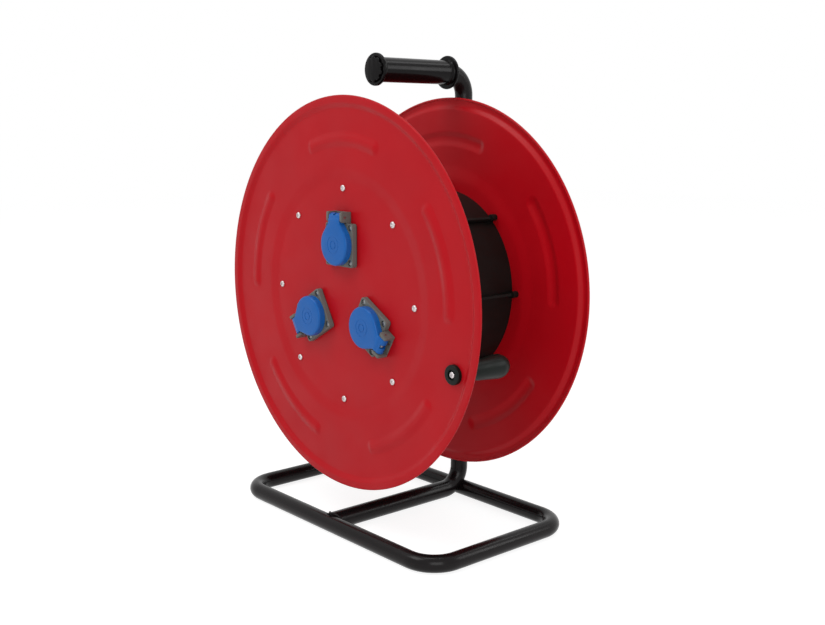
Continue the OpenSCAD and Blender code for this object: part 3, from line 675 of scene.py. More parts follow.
@dataclass(frozen=True)
class Finish:
    """A surface finish. Its grain is in the surface and its clouds vary colour and gloss."""

    slot: str
    colour: Point
    rough: float
    metal: float = 0.0
    level: float = 0.5
    cloud: float = 60.0
    cloud_tint: float = 0.06
    gloss_swing: float = 0.06
    grain: float = 0.9
    grain_depth: float = 0.02

    def material(self) -> bpy.types.Material:
        """The finish's material, made once.

        Returns:
            The material.
        """
        name = f"finish_{self.slot}"
        if name in bpy.data.materials:
            return bpy.data.materials[name]
        material = bpy.data.materials.new(name)
        wires = Wiring(material)
        place = wires.add("ShaderNodeTexCoord").outputs["Object"]
        shader = wires.add("ShaderNodeBsdfPrincipled")
        shader.inputs["Metallic"].default_value = self.metal
        shader.inputs["Specular IOR Level"].default_value = self.level
        wires.feed(shader, "Base Color", self.tint(wires, place))
        wires.feed(shader, "Roughness", self.gloss(wires, place))
        wires.feed(shader, "Normal", self.relief(wires, place))
        wires.add("ShaderNodeOutputMaterial", Surface=shader.outputs["BSDF"])
        return material

    def shade(self, factor: float) -> tuple[float, float, float, float]:
        """The finish's colour, lighter or darker."""
        base = linear(self.colour)
        return (min(1, base[0] * factor), min(1, base[1] * factor), min(1, base[2] * factor), 1)

    def tint(self, wires: Wiring, place: bpy.types.NodeSocket) -> bpy.types.NodeSocket:
        """Clouds of slightly lighter and darker colour."""
        clouds = wires.spread(wires.noise(place, self.cloud), 0, 1)
        return wires.mixed(clouds, self.shade(1 - self.cloud_tint), self.shade(1 + self.cloud_tint))

    def gloss(self, wires: Wiring, place: bpy.types.NodeSocket) -> bpy.types.NodeSocket:
        """Roughness that drifts over the surface."""
        drift = wires.noise(place, self.cloud * DRIFT_SHARE)
        return wires.spread(drift, self.rough - self.gloss_swing, self.rough + self.gloss_swing)

    def relief(self, wires: Wiring, place: bpy.types.NodeSocket) -> bpy.types.NodeSocket:
        """Fine grain raised in the surface.

        Args:
            wires: the material's nodes.
            place: the place on the object.

        Returns:
            The surface's normal.
        """
        bump = wires.add(
            "ShaderNodeBump",
            Height=wires.noise(place, self.grain),
            Distance=self.grain_depth * MM,
            Strength=1.0,
        )
        return bump.outputs["Normal"]


@dataclass(frozen=True)
class PowderCoat(Finish):
    """Baked powder: the gentle orange peel of a coat that has flowed out."""

    peel: float = 2.6
    peel_depth: float = 0.02

    def relief(self, wires: Wiring, place: bpy.types.NodeSocket) -> bpy.types.NodeSocket:
        """Orange peel over the fine grain.

        Args:
            wires: the material's nodes.
            place: the place on the object.

        Returns:
            The surface's normal.
        """
        peel = wires.add(
            "ShaderNodeBump",
            Height=wires.noise(place, self.peel, 1),
            Distance=self.peel_depth * MM,
            Strength=1.0,
        )
        grain = wires.add(
            "ShaderNodeBump",
            Height=wires.noise(place, self.grain),
            Distance=self.grain_depth * MM,
            Strength=1.0,
            Normal=peel.outputs["Normal"],
        )
        return grain.outputs["Normal"]


@dataclass(frozen=True)
class Plating(Finish):
    """Plated or bare metal with the hairlines of its making."""

    line: float = 0.25
    line_stretch: float = 14.0
    line_strength: float = 0.6

    def relief(self, wires: Wiring, place: bpy.types.NodeSocket) -> bpy.types.NodeSocket:
        """Hairlines drawn out along one direction.

        Args:
            wires: the material's nodes.
            place: the place on the object.

        Returns:
            The surface's normal.
        """
        drawn = wires.add("ShaderNodeMapping", Vector=place, Scale=(1, 1 / self.line_stretch, 1))
        bump = wires.add(
            "ShaderNodeBump",
            Height=wires.noise(drawn.outputs["Vector"], self.line, 2),
            Distance=self.grain_depth * MM,
            Strength=self.line_strength,
        )
        return bump.outputs["Normal"]


RED = PowderCoat(
    "flange_red", (181, 7, 22), 0.42,
    level=0.18, cloud=90, cloud_tint=0.04, grain_depth=0.004, peel_depth=0.012,
)
BLACK_TUBE = PowderCoat(
    "frame_black", (18, 14, 15), 0.24, level=0.17, grain_depth=0.006, peel_depth=0.015
)
GRIP_BLACK = Finish(
    "grip_black", (12, 10, 11), 0.20, level=0.12, gloss_swing=0.03, grain=0.7, grain_depth=0.01
)
CORE_BLACK = Finish("core_black", (14, 14, 12), 0.46, level=0.20, grain=1.0, grain_depth=0.02)
LID_BLUE = Finish(
    "lid_blue", (20, 95, 173), 0.34,
    level=0.22, cloud=20, cloud_tint=0.04, grain=0.4, grain_depth=0.01,
)
PLATE_GREY = Finish(
    "plate_grey", (102, 103, 99), 0.50, level=0.25, cloud=20, grain=0.4, grain_depth=0.012
)
CRANK_BLACK = Finish(
    "winding_grip", (15, 21, 18), 0.36,
    level=0.14, gloss_swing=0.04, cloud=25, grain=0.5, grain_depth=0.012,
)
# Zinc-plated steel, partly its own dull plating and partly painted shade: its colour is darker than
# bright zinc to stand in for the shade in the counterbores that the plate screws sit in.
ZINC_AND_RECESS_SHADE = Plating("zinc_steel", (150, 152, 153), 0.40, metal=1.0, cloud=8, cloud_tint=0.10)
SCREW = Plating("screw_steel", (206, 200, 200), 0.30, metal=1.0, cloud=4, cloud_tint=0.05)
DARK_STEEL = Plating("dark_steel", (44, 45, 48), 0.50, metal=1.0, cloud=12, cloud_tint=0.12)
IVORY = Finish("bush_ivory", (222, 214, 192), 0.45, cloud=10, grain=0.4, grain_depth=0.008)
RUBBER = Finish("seal_rubber", (20, 20, 21), 0.62, cloud=10, grain=0.3, grain_depth=0.02)
BRASS = Plating("contact_brass", (196, 158, 84), 0.28, metal=1.0, cloud=6, cloud_tint=0.10)
WHITE_BLOCK = Finish(
    "terminal_white", (224, 222, 214), 0.40, cloud=10, grain=0.4, grain_depth=0.008
)
LEAD_BLACK = Finish("lead_black", (24, 24, 25), 0.50, cloud=15, grain=0.6, grain_depth=0.02)
FINISHES = (
    RED, BLACK_TUBE, GRIP_BLACK, CORE_BLACK, LID_BLUE, PLATE_GREY, CRANK_BLACK, ZINC_AND_RECESS_SHADE, SCREW,
    DARK_STEEL, IVORY, RUBBER, BRASS, WHITE_BLOCK, LEAD_BLACK,
)


# ---- Places ----


@dataclass(frozen=True)
class Places:
    """Where the drum's frames of reference stand."""

    front_rim_y: float = -89.2
    axis_h: float = 285.0
    span: float = 172.4
    dish: float = 5.5

    def drum(self) -> Matrix:
        """The drum's frame.

        Returns:
            The frame, its z along the drum's axis towards the front.
        """
        rim = Matrix.Translation((0, self.front_rim_y * MM, self.axis_h * MM))
        return rim @ Matrix.Rotation(math.radians(90), 4, "X")

    def drum_rear(self) -> Matrix:
        """The drum's frame seen in a mirror, at the rear rim."""
        rim = self.drum() @ Matrix.Translation((0, 0, -self.span * MM))
        return rim @ Matrix.Scale(-1, 4, (0, 0, 1))

    @staticmethod
    def polar(radius: float, angle: float, z: float = 0) -> Matrix:
        """A place at a radius and an angle, its +y pointing away from the axis.

        Args:
            radius: the distance from the axis.
            angle: the angle around the axis, in degrees.
            z: the height above the drum's front rim.

        Returns:
            The place, in the drum's frame.
        """
        turn = Matrix.Rotation(math.radians(angle - 90), 4, "Z")
        return turn @ Matrix.Translation((0, radius * MM, z * MM))


PLACES = Places()


# ---- Screws ----


@dataclass
class PanScrew:
    """A pan-head screw with a crossed slot, its head above z = 0.

    The head's side and the slot's floor are shares of its height, and the slot's reach is a
    share of its radius.
    """

    head_r: float
    head_h: float
    shank_r: float
    length: float
    slot_w: float = 0.9
    foot: float = 0.15
    side_share: float = 0.42
    slot_reach: float = 0.58
    slot_floor: float = 0.48
    slot_turn: float = 20.0
    crown_step: float = 0.26
    sides: int = 32

    def build(self, name: str) -> Workpiece:
        """Turns the head and shank, then cuts the crossed slot.

        Args:
            name: the screw's name.

        Returns:
            The screw.
        """
        r, h = self.head_r, self.head_h
        side = h * self.side_share
        angles = stepped(0, math.pi / 2, self.crown_step)
        crown = [(r * math.cos(a), side + (h - side) * math.sin(a)) for a in angles]
        shank = [(0, -self.length), (self.shank_r, -self.length), (self.shank_r, 0)]
        head = [(r - self.foot, 0), (r, self.foot), *crown[:-1], (0, h)]
        screw = Workpiece.turned(name, shank + head, self.sides)
        reach, half = r * self.slot_reach, self.slot_w / 2
        for turn in (self.slot_turn, self.slot_turn + 90):
            slot = Workpiece.block(
                "slot", (-reach, -half, h * self.slot_floor), (reach, half, h * 2)
            )
            slot.placed(Matrix.Rotation(math.radians(turn), 4, "Z"))
            screw.cut_by(slot)
        return screw


def ring_of(piece: Workpiece, name: str, places: Sequence[Matrix]) -> Workpiece:
    """Copies a piece to each place and joins the copies.

    Args:
        piece: the piece to repeat; it is used up.
        name: the name of the joined copies.
        places: where the copies go.

    Returns:
        The joined copies as one piece.
    """
    copies = [piece.copied(f"{name}_{i}", place) for i, place in enumerate(places)]
    bpy.data.objects.remove(piece.obj)
    joined = copies[0].joined_with(copies[1:])
    joined.obj.name = joined.obj.data.name = name
    return joined


# ---- Stand ----


@dataclass
class Stand:
    """The bent-tube stand with its carrying grip.

    A scoop in the end cap's edge has a radius that is a share of half a lobe, and its centre
    stands a share of that radius outside the edge.
    """

    tube_r: float = 10.0
    post_r: float = 11.0
    half_w: float = 180.5
    half_d: float = 107.7
    corner_r: float = 35.0
    bend_r: float = 27.0
    arm_h: float = 545.4
    grip_len: float = 117.5
    grip_r: float = 14.4
    front_lip_r: float = 18.9
    front_lip: float = 4.0
    rear_lip_r: float = 20.1
    rear_lip: float = 3.5
    lip_edge_r: float = 1.2
    flare: float = 4.5
    shoulder: float = 1.6
    seat_r: float = 15.2
    seat_depth: float = 1.0
    seat_edge: float = 0.3
    bore_gap: float = 0.03
    cap_t: float = 3.6
    cap_r: float = 15.0
    cap_edge: float = 0.7
    cap_gap: float = 0.02
    cap_lobes: int = 10
    scoop_share: float = 0.62
    scoop_offset: float = 0.35
    bead_r: float = 1.7
    bead_facets: int = 10
    floor_gap: float = 0.1
    sides: int = 40
    grip_sides: int = 72
    corner_steps: int = 12
    bend_steps: int = 14
    flare_steps: int = 8
    seam: float = 0.05

    def floor_loop(self) -> Workpiece:
        """Sweeps the tube's circle once around the floor loop.

        Returns:
            The closed tube.
        """
        side, end = self.half_w - self.corner_r, self.half_d - self.corner_r
        start = (0, -self.half_d, self.tube_r)
        loop = Workpiece.hoop("floor_loop", self.tube_r, start, (0, 90, 0), self.sides)
        for run, corner in (
            ((side, 0, 0), (side, -end, 0)),
            ((0, 2 * end, 0), (side, end, 0)),
            ((-2 * side, 0, 0), (-side, end, 0)),
            ((0, -2 * end, 0), (-side, -end, 0)),
        ):
            loop.extrude(run)
            loop.spin(90, self.corner_steps, corner, (0, 0, 1))
        loop.extrude((side, 0, 0))
        return loop.tidied(self.seam)

    def post(self) -> Workpiece:
        """Sweeps the tube from the front member back, up and forward to the arm's end.

        Returns:
            The bent tube.
        """
        back, top = self.half_d - self.bend_r, self.arm_h - self.bend_r
        arm_end = back - self.grip_len + self.seat_depth
        start = (0, -self.half_d, self.post_r)
        post = Workpiece.hoop("post", self.post_r, start, (90, 0, 0), self.sides)
        post.fill()
        post.extrude((0, self.half_d + back, 0))
        post.spin(90, self.bend_steps, (0, back, self.post_r + self.bend_r), (1, 0, 0))
        post.extrude((0, 0, top - self.post_r - self.bend_r))
        post.spin(90, self.bend_steps, (0, back, top), (1, 0, 0))
        post.extrude((0, arm_end - back, 0))
        return post.tidied(self.seam)

    def weld_bead(self) -> Workpiece:
        """The bead around the foot of the cross member, laid along the front member's side.

        Returns:
            The bead.
        """
        Workpiece.clear_bench()
        count = self.sides
        bpy.ops.mesh.primitive_torus_add(
            major_segments=count,
            minor_segments=self.bead_facets,
            major_radius=self.post_r * MM,
            minor_radius=self.bead_r * MM,
            location=(0, -self.half_d * MM, self.post_r * MM),
            rotation=(math.radians(90), 0, 0),
        )
        bead = Workpiece.added("weld_bead")
        for i in range(count):
            turn = 2 * math.pi * i / count
            here = Vector((math.cos(turn), 0, math.sin(turn)))

            def on_spoke(p: Vector, n: Vector) -> bool:
                """Whether a point lies on this spoke of the ring."""
                arm = Vector((p.x, 0, p.z - self.post_r))
                return arm.normalized().dot(here) > math.cos(math.pi / count)

            bead.pick(Pick.VERT, on_spoke)
            bead.move((0, self.tube_r * abs(math.cos(turn)), 0))
        bead.pick(Pick.VERT, lambda p, n: p.z < self.floor_gap)
        bead.resize((1, 1, 0), (0, 0, self.floor_gap))
        return bead.tidied()

    def lip(self, start: float, length: float, radius: float) -> list[Point]:
        """The outline of a lip with round edges.

        Args:
            start: where the lip begins along the grip.
            length: how long it is.
            radius: its outer radius.

        Returns:
            The outline's points, from the lip's front to its back.
        """
        edge = self.lip_edge_r
        front = arc((radius - edge, start + edge), edge, -90, 0, 4)
        back = arc((radius - edge, start + length - edge), edge, 0, 90, 4)
        return front + back

    def flare_line(self, start: float, way: int) -> list[Point]:
        """The hollow flare from a lip down to the sleeve.

        Args:
            start: where the flare begins along the grip, at its lip.
            way: 1 for a flare that runs on to the back, -1 to the front.

        Returns:
            The flare's points, from the lip to the sleeve.
        """
        steps = [i / self.flare_steps for i in range(self.flare_steps + 1)]
        rises = [self.shoulder * (1 - t) ** 2 for t in steps]
        return [(self.grip_r + h, start + way * self.flare * t) for h, t in zip(rises, steps)]

    def carry_grip(self) -> Workpiece:
        """Turns the sleeve with its two lips and the seat in its front face.

        Returns:
            The sleeve.
        """
        seat, bore, edge = self.seat_depth, self.post_r + self.bore_gap, self.seat_edge
        rear = self.grip_len - self.rear_lip
        section = [(bore, seat), (self.seat_r, seat), (self.seat_r, edge), (self.seat_r + edge, 0)]
        section += self.lip(0, self.front_lip, self.front_lip_r)
        section += self.flare_line(self.front_lip, 1) + self.flare_line(rear, -1)[::-1]
        section += self.lip(rear, self.rear_lip, self.rear_lip_r) + [(bore, self.grip_len)]
        grip = Workpiece.turned("carry_grip", section, self.grip_sides, closed=True)
        return grip.placed(self.grip_place())

    def grip_place(self) -> Matrix:
        """The grip's frame: z runs back along the arm from the grip's front face.

        Returns:
            The frame.
        """
        front = self.half_d - self.bend_r - self.grip_len
        face = Matrix.Translation((0, front * MM, self.arm_h * MM))
        return face @ Matrix.Rotation(math.radians(-90), 4, "X")

    def end_cap(self) -> Workpiece:
        """A plate with a scalloped edge that stands proud of the grip's front face.

        Returns:
            The plate.
        """
        radius, share = self.cap_r, 180 / self.cap_lobes
        face = self.seat_depth - self.cap_t
        notch = radius * math.sin(math.radians(share)) * self.scoop_share
        far = radius + notch * self.scoop_offset
        meeting = math.acos((radius**2 + far**2 - notch**2) / (2 * radius * far))
        half = math.degrees(meeting)
        swing = math.degrees(math.asin(min(1, radius * math.sin(meeting) / notch)))
        outline: list[Point] = []
        for i in range(self.cap_lobes):
            middle = 2 * share * i
            turn = math.radians(middle)
            centre = (far * math.cos(turn), far * math.sin(turn))
            rim = arc((0, 0), radius, middle - share, middle - half, 3)
            scoop = arc(centre, notch, middle + 180 + swing, middle + 180 - swing, 6)
            next_rim = arc((0, 0), radius, middle + half, middle + share, 3)
            outline += rim + scoop[1:] + next_rim[1:-1]
        cap = Workpiece.traced("end_cap", [(x, y, face) for x, y in outline], closed=True)
        cap.fill()
        cap.extrude((0, 0, self.cap_t - self.cap_gap))
        cap.tidied()
        cap.pick(Pick.EDGE, lambda p, d: abs(p.z - face) < CLOSE)
        cap.bevel(self.cap_edge, 3)
        return cap.tidied().placed(self.grip_place())

    def build(self) -> None:
        """Builds the stand's pieces and hands them over."""
        loop = self.floor_loop()
        loop.smooth().handed_over(Body.STAND.value, BLACK_TUBE, ["base_loop"])
        self.post().smooth().handed_over(Body.STAND.value, BLACK_TUBE, ["post_tube"])
        self.weld_bead().smooth(60).handed_over(Body.STAND.value, BLACK_TUBE, [])
        self.carry_grip().smooth().handed_over(Body.STAND.value, GRIP_BLACK, ["carry_grip"])
        self.end_cap().smooth().handed_over(Body.STAND.value, GRIP_BLACK, ["grip_end_cap"])


# ---- Flanges ----


@dataclass
class Flange:
    """A pressed steel flange: dished centre, five arc ribs, sloped band and rolled edge.

    The inner face ends a sheet_gap short of the rolled edge. Faces are turn_step degrees wide,
    and end_step where a rib ends.
    """

    sheet: float = 1.2
    dish: float = 5.5
    annulus: float = 3.6
    dish_r: float = 134.0
    dish_slope: float = 14.0
    rim_slope_r: float = 216.5
    rim_slope: float = 5.0
    rim_r: float = 230.5
    roll_r: float = 1.6
    rib_count: int = 5
    rib_r: float = 180.5
    rib_half: float = 10.6
    rib_crest: float = 1.4
    rib_h: float = 2.2
    rib_angle: float = 18.5
    cup_hole_r: float = 22.0
    socket_r: float = 60.0
    crank_hole_r: float = 8.2
    crank_r: float = 200.0
    crank_angle: float = -18.0
    hub_hole_r: float = 19.25
    drill: tuple[float, float] = (-12, 4)
    dish_soft: float = 3.5
    rim_soft: float = 1.6
    roll_steps: int = 14
    sheet_gap: float = 1.7
    rib_row: float = 0.9
    rib_end: float = 3.5
    turn_step: float = 2.0
    end_step: float = 0.5
    seam: float = 0.01

    def outer_line(self, hole_r: float) -> list[Point]:
        """The outer face's line, with close rows where the ribs rise.

        Args:
            hole_r: the radius of the hole in the flange's middle, 0 for none.

        Returns:
            The line's points, each a radius and a height.
        """
        meeting = (self.rim_slope_r - self.rim_slope, -self.annulus)
        dish = [
            (hole_r, -self.dish),
            (self.dish_r, -self.dish),
            (self.dish_r + self.dish_slope, -self.annulus),
            meeting,
        ]
        rim = [
            meeting,
            (self.rim_slope_r, -self.annulus),
            (self.rim_slope_r + self.rim_slope, 0),
            (self.rim_r - self.roll_r, 0),
        ]
        line = softened(dish, self.dish_soft) + softened(rim, self.rim_soft)[1:]
        rib_from, rib_to = self.rib_r - self.rib_half - 1, self.rib_r + self.rib_half + 1
        rows = [(r, -self.annulus) for r in stepped(rib_from, rib_to, self.rib_row)]
        inner = [p for p in line if p[0] < rib_from]
        return inner + rows + [p for p in line if p[0] > rib_to]

    def section(self, hole_r: float) -> list[Point]:
        """The closed half section: outer face, rolled edge, inner face.

        Args:
            hole_r: the radius of the hole in the flange's middle, 0 for none.

        Returns:
            The section's points, each a radius and a height.
        """
        outer = self.outer_line(hole_r)
        roll_at = self.rim_r - self.roll_r
        roll = arc((roll_at, -self.roll_r), self.roll_r, 90, -160, self.roll_steps)
        last = roll_at - self.sheet_gap
        inner = [(r, z - self.sheet) for r, z in reversed(outer) if r < last]
        return outer[:-1] + roll + inner

    def sector(self, hole_r: float) -> Workpiece:
        """One fifth of the flange with its rib pressed up.

        Args:
            hole_r: the radius of the hole in the flange's middle, 0 for none.

        Returns:
            The sector, its rib pointing up.
        """
        wire = [(r, 0, z) for r, z in self.section(hole_r)]
        piece = Workpiece.traced("flange_sector", wire, closed=hole_r > 0)
        share = 180 / self.rib_count
        near, far = self.rib_angle - self.rib_end, self.rib_angle + self.rib_end
        for start, end, step in (
            (-share, -far, self.turn_step),
            (-far, -near, self.end_step),
            (-near, near, self.turn_step),
            (near, far, self.end_step),
            (far, share, self.turn_step),
        ):
            piece.spin(end - start, max(1, round((end - start) / step)), (0, 0, 0), (0, 0, 1))
        piece.tidied()
        rib_end = self.rib_angle + 0.1

        def on_crest(p: Vector, n: Vector) -> bool:
            """Whether a vertex lies on the rib's crest."""
            turn = abs(math.degrees(math.atan2(p.y, p.x)) - share)
            return abs(math.hypot(p.x, p.y) - self.rib_r) < self.rib_crest and turn < rib_end

        piece.pick(Pick.VERT, on_crest)
        piece.move((0, 0, self.rib_h), self.rib_half - self.rib_crest)
        return piece.placed(Matrix.Rotation(math.radians(90 - share), 4, "Z"))

    def build(self, name: str, hole_r: float) -> Workpiece:
        """The whole flange in the drum's frame.

        Args:
            name: the flange's name.
            hole_r: the radius of the hole in its middle, 0 for none.

        Returns:
            The flange.
        """
        count = self.rib_count
        turns = [Matrix.Rotation(2 * math.pi * i / count, 4, "Z") for i in range(count)]
        return ring_of(self.sector(hole_r), name, turns).tidied(self.seam)

    def front(self) -> None:
        """The front flange, with the sockets' and the winding grip's holes."""
        flange = self.build("front_flange_sheet", 0)
        cutters = []
        for angle in Socket.ANGLES.values():
            cutter = Workpiece.rod("cup_hole", self.cup_hole_r, self.drill, 64)
            cutters.append(cutter.placed(Places.polar(self.socket_r, angle)))
        crank = Workpiece.rod("crank_hole", self.crank_hole_r, self.drill, 40)
        cutters.append(crank.placed(Places.polar(self.crank_r, self.crank_angle)))
        flange.cut_by(*cutters)
        flange.placed(PLACES.drum()).smooth(32)
        flange.handed_over(Body.DRUM.value, RED, ["front_flange"])

    def rear(self) -> None:
        """The rear flange, a mirrored copy of the pressing with the hub's hole."""
        flange = self.build("rear_flange_sheet", self.hub_hole_r)
        flange.placed(PLACES.drum_rear()).smooth(32)
        flange.handed_over(Body.DRUM.value, RED, ["rear_flange"])


@dataclass
class FlangeScrews:
    """The eight machine screws around each flange's dished centre."""

    circle_r: float = 125.0
    count: int = 8
    dish: float = 5.5
    slot_turn: float = 37.0
    screw: PanScrew = field(default_factory=lambda: PanScrew(3.75, 2.4, 2.0, 7.0))

    def build(self) -> None:
        """Builds both rings of screws."""
        spots = []
        for i in range(self.count):
            spot = Places.polar(self.circle_r, 360 / self.count * i, -self.dish)
            spots.append(spot @ Matrix.Rotation(math.radians(self.slot_turn * i), 4, "Z"))
        for side, drum in (("front", PLACES.drum()), ("rear", PLACES.drum_rear())):
            screw = self.screw.build("flange_screw")
            ring = ring_of(screw, f"{side}_screw_ring", [drum @ spot for spot in spots])
            ring.tidied().smooth()
            ring.handed_over(Body.DRUM.value, SCREW, [f"{side}_flange_screws"])


# ---- Winding core ----


@dataclass
class WindingCore:
    """The moulded barrel with eight fins that end in screw bosses."""

    outer_r: float = 118.5
    wall: float = 3.0
    front: float = -6.7
    rear: float = -165.7
    fin_t: float = 3.0
    fin_r: float = 125.0
    fin_inset: float = 0.5
    boss_r: float = 4.0
    boss_len: float = 8.0
    count: int = 8
    pad_half: float = 17.0
    pad_r: tuple[float, float] = (113.0, 121.0)
    pad_depth: float = 62.0
    pad_angle: float = 157.5
    fin_edge: float = 0.6
    pad_edge: float = 0.8
    sides: int = 144

    def barrel(self) -> Workpiece:
        """Turns the barrel.

        Returns:
            The barrel.
        """
        inner, outer = self.outer_r - self.wall, self.outer_r
        section = [(inner, self.rear), (outer, self.rear), (outer, self.front), (inner, self.front)]
        return Workpiece.turned("winding_core", section, self.sides, closed=True)

    def fin(self) -> Workpiece:
        """One fin with its two bosses, edges softened as the mould leaves them.

        Returns:
            The fin.
        """
        fin = Workpiece.block(
            "core_fin",
            (-self.fin_t / 2, self.outer_r - self.wall / 2, self.rear + self.fin_inset),
            (self.fin_t / 2, self.fin_r, self.front - self.fin_inset),
        )
        bosses = []
        for low in (self.rear, self.front - self.boss_len):
            boss = Workpiece.rod("boss", self.boss_r, (low, low + self.boss_len), 32)
            bosses.append(boss.placed(Matrix.Translation((0, self.fin_r * MM, 0))))
        return fin.fused_with(*bosses).rounded(self.fin_edge, 2, 50)

    def pad(self) -> Workpiece:
        """The flat pad that seats the cable gland.

        Returns:
            The pad.
        """
        low, high = self.pad_r
        pad = Workpiece.block(
            "gland_pad",
            (-self.pad_half, low, -self.pad_depth - self.pad_half),
            (self.pad_half, high, -self.pad_depth + self.pad_half),
        )
        return pad.rounded(self.pad_edge, 2, 50).placed(Places.polar(0, self.pad_angle))

    def build(self) -> None:
        """Builds the core and hands it over."""
        turns = [Places.polar(0, 360 / self.count * i) for i in range(self.count)]
        fins = ring_of(self.fin(), "core_fins", turns)
        core = self.barrel().joined_with([fins, self.pad()])
        core.placed(PLACES.drum()).smooth(35)
        core.handed_over(Body.DRUM.value, CORE_BLACK, ["drum_core"])


# ---- Winding grip ----


@dataclass
class WindingGrip:
    """The turning grip behind the front flange and its bush on the flange's face."""

    radius: float = 200.0
    angle: float = -18.0
    seat: float = -3.6
    back: float = -4.8
    bush_r: float = 10.9
    bush_h: float = 5.0
    spigot_r: float = 8.0
    edge_r: float = 1.4
    recess_r: float = 5.6
    recess_depth: float = 2.2
    recess_edge: float = 0.4
    bore_r: float = 3.2
    grip_front: float = -6.7
    front_edge: float = 1.0
    grip_r0: float = 8.6
    grip_r1: float = 13.6
    grip_len: float = 76.0
    dome_len: float = 17.0
    spindle_r: float = 5.05
    spindle_depth: float = 67.5
    dome_step: float = 0.11
    bush_sides: int = 56
    grip_sides: int = 64
    screw: PanScrew = field(default_factory=lambda: PanScrew(3.6, 2.4, 3.0, 20.0, 1.0))

    def place(self) -> Matrix:
        """The winding grip's frame."""
        return PLACES.drum() @ Places.polar(self.radius, self.angle)

    def bush(self) -> Workpiece:
        """Turns the flanged bush with its recess for the screw.

        Returns:
            The bush.
        """
        top = self.seat + self.bush_h
        section = [
            (self.bore_r, top - self.recess_depth),
            (self.recess_r, top - self.recess_depth),
            (self.recess_r, top - self.recess_edge),
            (self.recess_r + self.recess_edge, top),
            *arc((self.bush_r - self.edge_r, top - self.edge_r), self.edge_r, 90, 0, 5),
            (self.bush_r, self.seat),
            (self.spigot_r, self.seat),
            (self.spigot_r, self.back),
            (self.bore_r, self.back),
        ]
        return Workpiece.turned("winding_bush", section, self.bush_sides, closed=True)

    def grip(self) -> Workpiece:
        """Turns the grip: a slim front that widens to a rounded end.

        Returns:
            The grip.
        """
        straight = self.grip_len - self.dome_len
        dome = [
            (self.grip_r1 * math.cos(a), -straight - self.dome_len * math.sin(a))
            for a in stepped(0, math.pi / 2, self.dome_step)
        ]
        edge = self.front_edge
        section = [
            (0, -self.spindle_depth),
            (self.spindle_r, -self.spindle_depth),
            (self.spindle_r, 0),
            *arc((self.grip_r0 - edge, -edge), edge, 90, 0, 4),
            *dome[:-1],
            (0, -self.grip_len),
        ]
        grip = Workpiece.turned("winding_grip_body", section, self.grip_sides)
        return grip.placed(Matrix.Translation((0, 0, self.grip_front * MM)))

    def build(self) -> None:
        """Builds the bush, the screw and the grip and hands them over."""
        place = self.place()
        bush = self.bush().placed(place).smooth()
        bush.handed_over(Body.DRUM.value, CRANK_BLACK, ["crank_bush"])
        screw_seat = self.seat + self.bush_h - self.recess_depth
        screw = self.screw.build("winding_screw")
        screw.placed(place @ Matrix.Translation((0, 0, screw_seat * MM))).smooth()
        screw.handed_over(Body.DRUM.value, SCREW, ["crank_screw"])
        grip = self.grip().placed(place).smooth()
        grip.handed_over(Body.GRIP.value, CRANK_BLACK, ["crank_grip"])


# ---- Sockets ----


